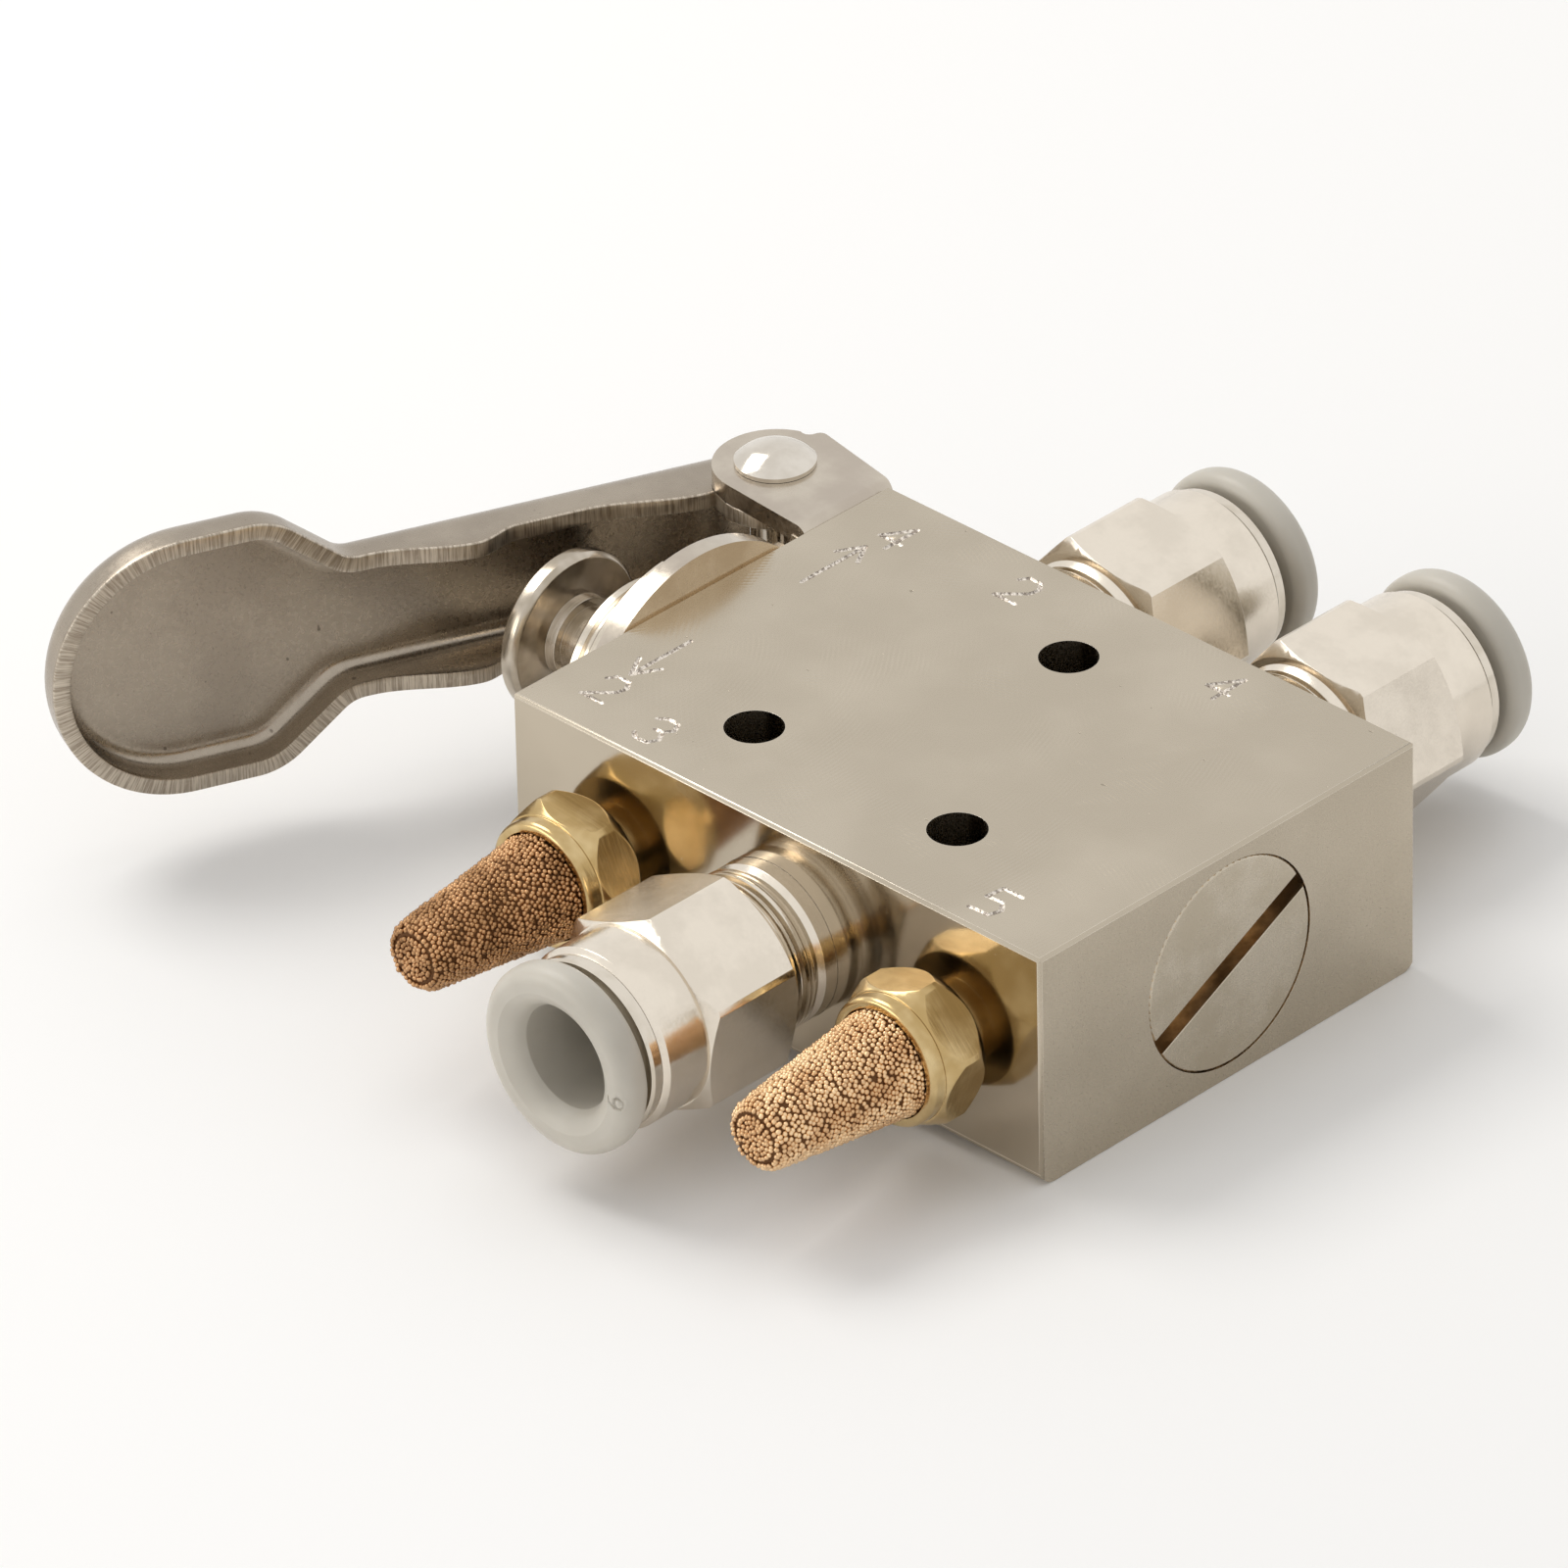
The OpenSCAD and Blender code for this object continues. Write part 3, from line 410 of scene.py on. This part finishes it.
# strokes of plain numerals in a box 1 wide and 1 tall
digits = {
    "2": [[(0, 0.78), (0.2, 0.97), (0.75, 0.97), (1, 0.75), (0.9, 0.5), (0, 0), (1, 0)]],
    "3": [[(0, 0.85), (0.3, 1), (0.8, 0.97), (1, 0.75), (0.75, 0.53), (0.4, 0.53)],
          [(0.75, 0.53), (1, 0.28), (0.8, 0.03), (0.3, 0), (0, 0.15)]],
    "4": [[(0.75, 0), (0.75, 1), (0, 0.32), (1, 0.32)]],
    "5": [[(0.95, 1), (0.1, 1), (0, 0.55), (0.65, 0.6), (1, 0.35), (0.85, 0.05), (0, 0.02)]],
    "6": [[(0.85, 0.98), (0.4, 0.9), (0.05, 0.5), (0.05, 0.2), (0.35, 0), (0.75, 0.02), (1, 0.25),
           (0.8, 0.52), (0.4, 0.52), (0.07, 0.32)]],
}


# each stroke is a round-ended channel, narrower below; toFace turns it onto the face it is cut in
def strokeCutter(strokes, width, depth, toFace):
    made = bmesh.new()
    for first, last in strokes:
        ends = [Vector(first), Vector(last)]
        way = ends[1] - ends[0]
        angle = math.atan2(way.y, way.x)
        corners = []
        for middle, turn in zip(ends, (math.pi / 2, -math.pi / 2)):
            for k in range(markSize["sides"] + 1):
                a = angle + turn + math.pi * k / markSize["sides"]
                corners.append(made.verts.new((middle.x + width / 2 * math.cos(a),
                                               middle.y + width / 2 * math.sin(a), markSize["above"])))
        cap = made.faces.new(corners)
        for level, share in ((0, 1), (-depth, markSize["narrow"])):
            before = cap
            grown = bmesh.ops.extrude_face_region(made, geom=[before])["geom"]
            cap = next(g for g in grown if isinstance(g, bmesh.types.BMFace))
            if level < 0:  # the cap between the two steps would close the channel
                bmesh.ops.delete(made, geom=[before], context="FACES_ONLY")
            for vert in cap.verts:
                flat = vert.co.xy
                middle = min(ends, key=lambda end: (flat - end).length)
                vert.co = (*(middle + (flat - middle) * share), level)
    bmesh.ops.transform(made, matrix=Matrix.Scale(mm, 4) @ toFace, verts=made.verts)
    return meshOf(made, "strokes")


# cuts one stroke of every sign at a time, so that no two cutters meet
def engrave(mesh, glyphs, width, depth, toFace, material):
    strokes = [[pair for line in glyph for pair in zip(line, line[1:])] for glyph in glyphs]
    for turn in range(max(len(s) for s in strokes)):
        some = [s[turn] for s in strokes if len(s) > turn]
        mesh = carve(mesh, strokeCutter(some, width, depth, toFace), material)
    return mesh


def numeral(sign, cx, cy, tall, wide):
    return [[(cx + (u - 0.5) * wide, cy + (v - 0.5) * tall) for u, v in line] for line in digits[sign]]


def arrow(x, y0, y1):
    way = math.copysign(1, y1 - y0)
    return [[(x, y0), (x, y1)], [(x - 0.85, y1 - 1.5 * way), (x, y1), (x + 0.85, y1 - 1.5 * way)]]


def onOuterFace(p, near=0.01):
    return (abs(abs(p.x) - block["length"] / 2) < near or abs(abs(p.y) - block["width"] / 2) < near
            or abs(p.z) < near or abs(p.z - block["height"]) < near)


glyphs = [numeral(sign, x, y, markSize["tall"], markSize["wide"]) for sign, x, y in signPlaces]
glyphs += [arrow(-16.35, 4.2, 9.3), arrow(-16.5, -4.4, -9.1)]
blockMesh = softCopy("valve_body", markSize["soft"], only=onOuterFace)
blockMesh.materials.append(nickelBody)
blockMesh.materials.append(edgeHighlight)
# the narrow bevels along the outer faces take the lighter edge material: a painted highlight
for face in blockMesh.polygons:
    if max(abs(c) for c in face.normal) < 0.97 and onOuterFace(face.center / mm, 0.07):
        face.material_index = 1
blockMesh = engrave(blockMesh, glyphs, markSize["width"], markSize["depth"],
                    Matrix.Translation((0, 0, block["height"])), engraved)
blockPiece = newPiece("valve_body_marked", blockMesh, [], "valve_body")
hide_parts("valve_body")

print("softened pieces")
softWidth = dict(lever_bracket=0.12, end_plug=0.05, plunger_button=0.05, silencer_base_r1=0.06,
                 silencer_base_r2=0.06, fitting_p=0.06, fitting_a=0.06, fitting_b=0.06)


# the plug is softened only where it shows, at the face of the block
def nearPlugFace(p):
    return p.x > block["length"] / 2 - 0.3


for name, width in softWidth.items():
    mesh = softCopy(name, width, only=nearPlugFace if name == "end_plug" else None)
    mesh.materials.append(nodeMaterials[name])
    if name == "end_plug":  # the slot's recessed faces are painted darker: painted shade
        mesh.materials.append(slotPaintedShade)
        for face in mesh.polygons:
            face.material_index = int(face.center.x < (block["length"] / 2 - 0.07) * mm)
    if name == "lever_bracket":  # the faces that look back at the block take a lighter, warmer tone
        mesh.materials.append(lighterWarmNickel)
        for face in mesh.polygons:
            face.material_index = int(face.normal.x > 0.95)
    piece = newPiece(name + "_soft", mesh, [], name)
    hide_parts(name)

print("spring")
# the coil is a copy of the spring's mesh, on the body of the spring's node
coilMesh = frame["nodes"]["return_spring"].data.copy()
coil = newPiece("return_spring_coil", coilMesh, [springSteel], "return_spring")
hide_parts("return_spring")
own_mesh(coil)

print("release rings")
ringSign = dict(out=32.0, off=4.65, low=0.39, tall=1.1, wide=0.75, width=0.2, depth=0.2, soft=0.04)
for port, x, side in tubePorts:
    node = "release_ring_" + port
    mesh = softCopy(node, ringSign["soft"])
    mesh.materials.append(plastic)
    axes = Matrix(((0, 0, 1), (side, 0, 0), (0, side, 0))).transposed().to_4x4()
    spot = Vector((x - side * ringSign["off"], side * ringSign["out"], block["axis"] - ringSign["low"]))
    sign = numeral("6", 0, 0, ringSign["tall"], ringSign["wide"])
    mesh = engrave(mesh, [sign], ringSign["width"], ringSign["depth"],
                   Matrix.Translation(spot) @ axes, plastic)
    piece = newPiece(node + "_marked", mesh, [], node)
    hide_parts(node)

print("lever")
# half and wide are half the height of the arm and of the paddle; straight is 0.025 mm less than
# in the CAD, so that the paddle's true arc stays inside the CAD's box
sheet = dict(pivot=(-26.4, 12.4, 8.65), angle=23.3, half=4.65, wide=8.24, neck=24.2, shoulder=6.6,
             straight=3.675, neckR=2.0, shoulderR=4.2, wall=1.0, top=5.1, bend=1.85, edge=0.13, end=3.6,
             reach=3.55, hole=1.55, web=0.25, deep=12.0)
# place along the lever, and where the free edge stands there
knots = [(4.0, 0.4), (11.0, 1.65), (15.0, 1.65), (17.6, 0.75), (23.8, 2.1)]


def arcPoints(cx, cy, r, a0, a1, n):
    return [(cx + r * math.cos(math.radians(a0 + (a1 - a0) * k / n)),
             cy + r * math.sin(math.radians(a0 + (a1 - a0) * k / n))) for k in range(n + 1)]


# the outline of the lever, moved in by inset: arm, neck arc, shoulder arc, paddle and back
def leverOutline(inset):
    s = sheet
    c1 = Vector((s["neck"], s["half"] + s["neckR"]))
    c2 = Vector((s["neck"] + s["shoulder"], s["wide"] - s["shoulderR"]))
    d = c2 - c1
    slope = math.degrees(math.atan2(d.y, d.x) + math.asin((s["neckR"] + s["shoulderR"]) / d.length))
    start, knee = -s["end"] - 1, knots[0][0]
    upper = [(start + (knee - start) * k / 60, s["half"] - inset) for k in range(60)]
    upper += [(knee + (s["neck"] - knee) * k / 60, s["half"] - inset) for k in range(60)]
    upper += arcPoints(c1.x, c1.y, s["neckR"] + inset, -90, slope - 90, 14)
    upper += arcPoints(c2.x, c2.y, s["shoulderR"] - inset, slope + 90, 90, 18)
    first, last = c2.x, c2.x + s["straight"]
    upper += [(first + (last - first) * k / 8, s["wide"] - inset) for k in range(1, 8)]
    upper += arcPoints(last, 0, s["wide"] - inset, 90, 0, 40)
    return upper + [(x, -y) for x, y in upper[-2::-1]]


# how far the sheet's free edge stands from the pivot's plane, at s along the lever
def freeEdge(s):
    if s < knots[0][0]:
        disc = -math.sqrt(max(sheet["end"] ** 2 - max(s, 0) ** 2, 0))
        return disc if s < sheet["reach"] else knots[0][1]
    for (s0, n0), (s1, n1) in zip(knots, knots[1:]):
        if s <= s1:
            u = (s - s0) / (s1 - s0)
            return n0 + (n1 - n0) * u * u * (3 - 2 * u)
    return knots[-1][1]


# section from the inner web edge, down the inner wall, round the free edge and up to the outer web edge
def leverSection(rim):
    s = sheet
    inner, outer, e, flat = s["wall"], s["bend"], s["edge"], s["top"] - s["wall"]
    innerR = s["bend"] - s["wall"]
    quarter = math.pi / 2
    section = [(outer + s["web"], flat)]
    section += [(inner + innerR * (1 - math.cos(a)), flat - innerR + innerR * math.sin(a))
                for a in (quarter * (1 - k / 7) for k in range(8))]
    section += [(inner, rim + (flat - innerR - rim) * u) for u in (0.66, 0.33)]
    section += [(inner - e * 0.5 * (1 - math.cos(a)), rim + e * 0.5 * (1 - math.sin(a)))
                for a in (quarter * k / 2 for k in range(3))]
    section += [(inner * u, rim) for u in (0.7, 0.45)]
    section += [(e * (1 - math.sin(a)), rim + e * (1 - math.cos(a)))
                for a in (quarter * k / 3 for k in range(4))]
    section += [(0, rim + (s["top"] - outer - rim) * u) for u in (0.33, 0.66)]
    section += [(outer * (1 - math.cos(a)), s["top"] - outer + outer * math.sin(a))
                for a in (quarter * k / 10 for k in range(11))]
    return section + [(outer + s["web"], s["top"])]


turnLever = (Matrix.Translation(Vector(sheet["pivot"]))
             @ Matrix.Rotation(math.radians(180 - sheet["angle"]), 4, "Z"))
outerLine, innerLine = leverOutline(0), leverOutline(1)
lengths = [0.0]
for a, b in zip(outerLine, outerLine[1:]):
    lengths.append(lengths[-1] + math.dist(a, b))
stations, rows = len(outerLine), len(leverSection(0))
# a flat grid, each row of which is bent to the section at one station of the outline
made = bmesh.new()
bmesh.ops.create_grid(made, x_segments=rows - 1, y_segments=stations - 1, size=1.0)
made.verts.ensure_lookup_table()
verts = list(made.verts)
for k in range(stations):
    base = Vector(outerLine[k])
    step = Vector(innerLine[k]) - base
    for i, (inset, n) in enumerate(leverSection(freeEdge(outerLine[k][0]))):
        spot = base + step * inset
        verts[k * rows + i].co = (turnLever @ Vector((n, spot.x, spot.y))) * mm
made.faces.new(verts[::rows])  # inside of the web
made.faces.new(verts[rows - 1::rows][::-1])  # outside of the web
made.faces.new(verts[:rows] + verts[:-rows - 1:-1])  # the end behind the pivot
leverMesh = meshOf(made, "leverSheet")
leverMesh.materials.append(leverSteel)
leverMesh.materials.append(sheared)
# the streaks of the sheared edge run across it, so its map's u is the length along the outline
edgeMap = leverMesh.uv_layers.new(name="along")
for loop in leverMesh.loops:
    k, i = divmod(loop.vertex_index, rows)
    edgeMap.data[loop.index].uv = (lengths[k] * mm, i * 0.1 * mm)
heights = [n for inset, n in leverSection(0)]
edgeRows = [i for i in range(rows - 1) if max(heights[i], heights[i + 1]) < sheet["edge"] + 0.001]
for index, face in enumerate(leverMesh.polygons):
    if index < (stations - 1) * (rows - 1) and index % (rows - 1) in edgeRows:
        face.material_index = 1

# the end near the pivot: outside a disc about the pivot, everything before the web's start goes
toLever = Matrix.Scale(mm, 4) @ turnLever
outside = [(-9, -9), (9, -9), (9, 0.4), (5.9, 0.4), (4.5, 0.0)]
outside += arcPoints(0, 0, sheet["end"], 0, -180, 48) + [(-9, 0.0)]
made = bmesh.new()
face = made.faces.new([made.verts.new((a, b, -sheet["deep"])) for a, b in outside])
grown = bmesh.ops.extrude_face_region(made, geom=[face])["geom"]
bmesh.ops.translate(made, vec=(0, 0, 2 * sheet["deep"]),
                    verts=[g for g in grown if isinstance(g, bmesh.types.BMVert)])
bmesh.ops.transform(made, matrix=toLever, verts=made.verts)
leverMesh = carve(leverMesh, meshOf(made, "endCutter"), leverSteel)
# the rivet's hole
made = bmesh.new()
bmesh.ops.create_cone(made, cap_ends=True, segments=48, radius1=sheet["hole"], radius2=sheet["hole"],
                      depth=2 * sheet["deep"], matrix=toLever)
leverMesh = carve(leverMesh, meshOf(made, "pinCutter"), leverSteel)
leverPiece = newPiece("lever_sheet", leverMesh, [], "lever", 26)
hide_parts("lever")

print("beads")
# base, tip and bead are radii; w runs outwards from the block's face
cone = dict(base=3.25, tip=2.1, taper=5.0, start=4.75, end=15.0, bead=0.175, pitch=0.305, round=0.9,
            sink=0.02, pore=0.17, inside=0.24)


def coneRadius(w):
    u = (w - cone["taper"]) / (cone["end"] - cone["taper"])
    r = cone["base"] + (cone["tip"] - cone["base"]) * max(u, 0)
    over = w - (cone["end"] - cone["round"])
    if over > 0:
        r -= cone["round"] - math.sqrt(max(cone["round"] ** 2 - over ** 2, 0))
    return r


def beadCone(name, x, seed):
    dice = random.Random(seed)
    spots = []
    w = cone["start"]
    row = 0
    while w < cone["end"] - cone["bead"] + cone["sink"]:
        r = coneRadius(w) - cone["bead"] + cone["sink"]
        count = max(int(2 * math.pi * r / cone["pitch"]), 1)
        for k in range(count):
            a = 2 * math.pi * (k + 0.5 * (row % 2) + dice.uniform(-0.16, 0.16)) / count
            lift = dice.uniform(-0.07, 0.0)
            if dice.random() > 0.01:
                spots.append(((r + lift) * math.cos(a), w + dice.uniform(-0.1, 0.1),
                              (r + lift) * math.sin(a)))
        bent = w > cone["end"] - cone["round"]
        w += cone["pitch"] * (0.72 if bent else 0.87)
        row += 1
    # rings of beads close the tip
    r = coneRadius(cone["end"] - 0.12) - 0.45
    while r > 0.1:
        count = max(int(2 * math.pi * r / cone["pitch"]), 1)
        for k in range(count):
            a = 2 * math.pi * (k + dice.uniform(-0.25, 0.25)) / count
            spots.append((r * math.cos(a), cone["end"] - cone["bead"] - dice.uniform(0, 0.08),
                          r * math.sin(a)))
        r -= cone["pitch"] * 0.9
    made = bmesh.new()
    bmesh.ops.create_uvsphere(made, u_segments=7, v_segments=5, radius=1)
    ball = [v.co.copy() for v in made.verts]
    shell = [[v.index for v in f.verts] for f in made.faces]
    made.free()
    # the one sphere is copied as lists, because an operator for each bead takes minutes
    points, faces = [], []
    for sx, w, sz in spots:
        size = cone["bead"] * dice.uniform(0.86, 1.0)
        middle = Vector((x + sx, -block["width"] / 2 - min(w, cone["end"] - size), block["axis"] + sz))
        turn = Matrix.Rotation(dice.uniform(0, 6.28), 3, (0.3, 0.5, 0.8)) * size
        start = len(points)
        points += [(middle + turn @ p) * mm for p in ball]
        faces += [[start + i for i in f] for f in shell]
    mesh = bpy.data.meshes.new(name)
    mesh.from_pydata(points, [], faces)
    print(name, len(spots))
    return mesh


# spins a profile of radii and distances from the block's face about a port's axis
def lathePiece(name, x, side, profile):
    made = bmesh.new()
    verts = [made.verts.new(Vector((x + r, side * (block["width"] / 2 + w), block["axis"])) * mm)
             for r, w in profile]
    edges = [made.edges.new(pair) for pair in zip(verts, verts[1:])]
    bmesh.ops.spin(made, geom=verts + edges, cent=Vector((x, 0, block["axis"])) * mm, axis=(0, 1, 0),
                   angle=2 * math.pi, steps=96, use_merge=True)
    bmesh.ops.remove_doubles(made, verts=made.verts, dist=1e-7)
    return meshOf(made, name)


for port, x, seed in (("r1", 13.0, 11), ("r2", -13.0, 23)):
    node = "silencer_cone_" + port
    beads = newPiece("silencer_beads_" + port, beadCone("beads_" + port, x, seed), [bronze[port]], node, 180)
    # a dark core just under the beads, seen between them
    core = [(0.0, 4.0), (cone["base"] - 0.25, 4.0), (cone["base"] - 0.25, cone["taper"])]
    core += [(coneRadius(w) - cone["pore"], min(w, cone["end"] - cone["inside"]))
             for w in (8, 11, 13.6, 14.3, 14.7, 14.9)]
    core += [(0.0, cone["end"] - cone["inside"])]
    corePiece = newPiece("silencer_core_" + port, lathePiece("core_" + port, x, -1, core), [pores], node)
    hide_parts(node)
    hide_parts(node)

print("threads")
# three turns of thread show in front of the block, and two rings behind the hexagon
neck = dict(crest=4.82, root=4.5, start=0.06, first=1.62, pitch=0.36, turns=3, rings=(2.92, 3.3),
            ringLift=0.12, end=3.8)
for port, x, side in tubePorts:
    root, crest = neck["root"], neck["crest"]
    profile = [(root, neck["start"])]
    for k in range(neck["turns"]):
        w = neck["first"] + k * neck["pitch"]
        profile += [(root, w - 0.1), (crest, w), (crest, w + 0.05), (root, w + 0.15)]
    for w in neck["rings"]:
        ring = crest + neck["ringLift"]
        profile += [(root, w - 0.1), (ring, w), (ring, w + 0.06), (root, w + 0.16)]
    profile += [(root, neck["end"])]
    newPiece("neck_threads_" + port, lathePiece("threads_" + port, x, side, profile), [nickelTurned],
             "fitting_" + port, 20)

print("camera")
shot = dict(azimuth=44.99, elevation=32.33, roll=-1.30, distance=891.8, lens=370.4,
            target=(-10.57, -3.33, 7.30))
az, el, roll = (math.radians(shot[k]) for k in ("azimuth", "elevation", "roll"))
back = Vector((math.sin(az) * math.cos(el), -math.cos(az) * math.cos(el), math.sin(el)))
right = (-back).cross(Vector((0, 0, 1))).normalized()
up = right.cross(-back)
tiltRight = right * math.cos(roll) + up * math.sin(roll)
tiltUp = up * math.cos(roll) - right * math.sin(roll)
facing = Matrix((tiltRight, tiltUp, back)).transposed().to_4x4()
cameraData = bpy.data.cameras.new("camera")
cameraData.sensor_width = 36
cameraData.sensor_fit = "HORIZONTAL"
cameraData.lens = shot["lens"]
cameraData.clip_start = 0.05
cameraData.clip_end = 10
camera = bpy.data.objects.new("camera", cameraData)
scene = bpy.context.scene
scene.collection.objects.link(camera)
camera.matrix_world = Matrix.Translation((Vector(shot["target"]) + back * shot["distance"]) * mm) @ facing
scene.camera = camera

print("stage")
scene.view_settings.view_transform = "Standard"
world = bpy.data.worlds.new("studio")
scene.world = world
world.use_nodes = True
sky = world.node_tree
sky.nodes.clear()
# white to the camera and in metal, softer as light
rays = add(sky, "LightPath").outputs
seen = add(sky, "Math", [rays["Is Camera Ray"], rays["Is Glossy Ray"]], operation="MAXIMUM").outputs[0]
seen = add(sky, "Math", [seen, rays["Is Transmission Ray"]], operation="MAXIMUM").outputs[0]
strength = add(sky, "MapRange", {"Value": seen, "To Min": 0.6, "To Max": 1.0}).outputs[0]
backdrop = add(sky, "Background", {"Color": (1, 1, 1, 1), "Strength": strength})
add(sky, "OutputWorld", {"Surface": backdrop.outputs[0]})

# the floor leans a little, so that the lowest edges of the block and the bracket both touch it
floorSize = dict(half=1500, drop=2.15, run=41.2, touch=20.0, gap=0.02)
lean = math.atan2(floorSize["drop"], floorSize["run"])
made = bmesh.new()
bmesh.ops.create_grid(made, x_segments=1, y_segments=1, size=floorSize["half"] * mm)
for vert in made.verts:
    vert.co.z = (vert.co.x - floorSize["touch"] * mm) * math.tan(lean) - floorSize["gap"] * mm
floorMesh = bpy.data.meshes.new("floor")
made.to_mesh(floorMesh)
made.free()
floor = bpy.data.objects.new("floor", floorMesh)
scene.collection.objects.link(floor)
made, tree, shader = startMaterial("paleFloor")
spot = add(tree, "TexCoord").outputs["Object"]
tone = add(tree, "TexNoise", {"Vector": spot, "Scale": 1 / (300.0 * mm), "Detail": 2.0,
                              "Roughness": 0.5}).outputs["Fac"]
pale = add(tree, "Mix", {0: tone, 6: linear("f6f5f3"), 7: linear("faf9f8")}, **colours).outputs[2]
matt = add(tree, "MapRange", [tone, 0.3, 0.7, 0.55, 0.6], **smooth).outputs[0]
finishMaterial(tree, shader, pale, matt, metal=0.0)
floorMesh.materials.append(made)

# places and sizes in metres, power in watts; the lamp over the floor doesn't show in the metal
lamps = dict(
    keySoftbox=dict(spot=(-0.40, -0.05, 0.50), size=(0.35, 0.3), power=1.5, tint="fffdfa", mirrored=True),
    lowSoftbox=dict(spot=(-0.35, -0.50, 0.16), size=(0.35, 0.2), power=0.7, tint="fffcf6", mirrored=True),
    floorSoftbox=dict(spot=(-0.15, 0.15, 0.9), size=(0.6, 0.6), power=1.0, tint="ffffff", mirrored=False),
)
aim = Vector((-0.01, 0, 0))
for name, lamp in lamps.items():
    data = bpy.data.lights.new(name, "AREA")
    data.shape = "RECTANGLE"
    data.size, data.size_y = lamp["size"]
    data.energy = lamp["power"]
    data.color = linear(lamp["tint"])[:3]
    light = bpy.data.objects.new(name, data)
    scene.collection.objects.link(light)
    light.location = lamp["spot"]
    light.rotation_mode = "QUATERNION"
    light.rotation_quaternion = (aim - Vector(lamp["spot"])).to_track_quat("-Z", "Y")
    light.visible_glossy = lamp["mirrored"]
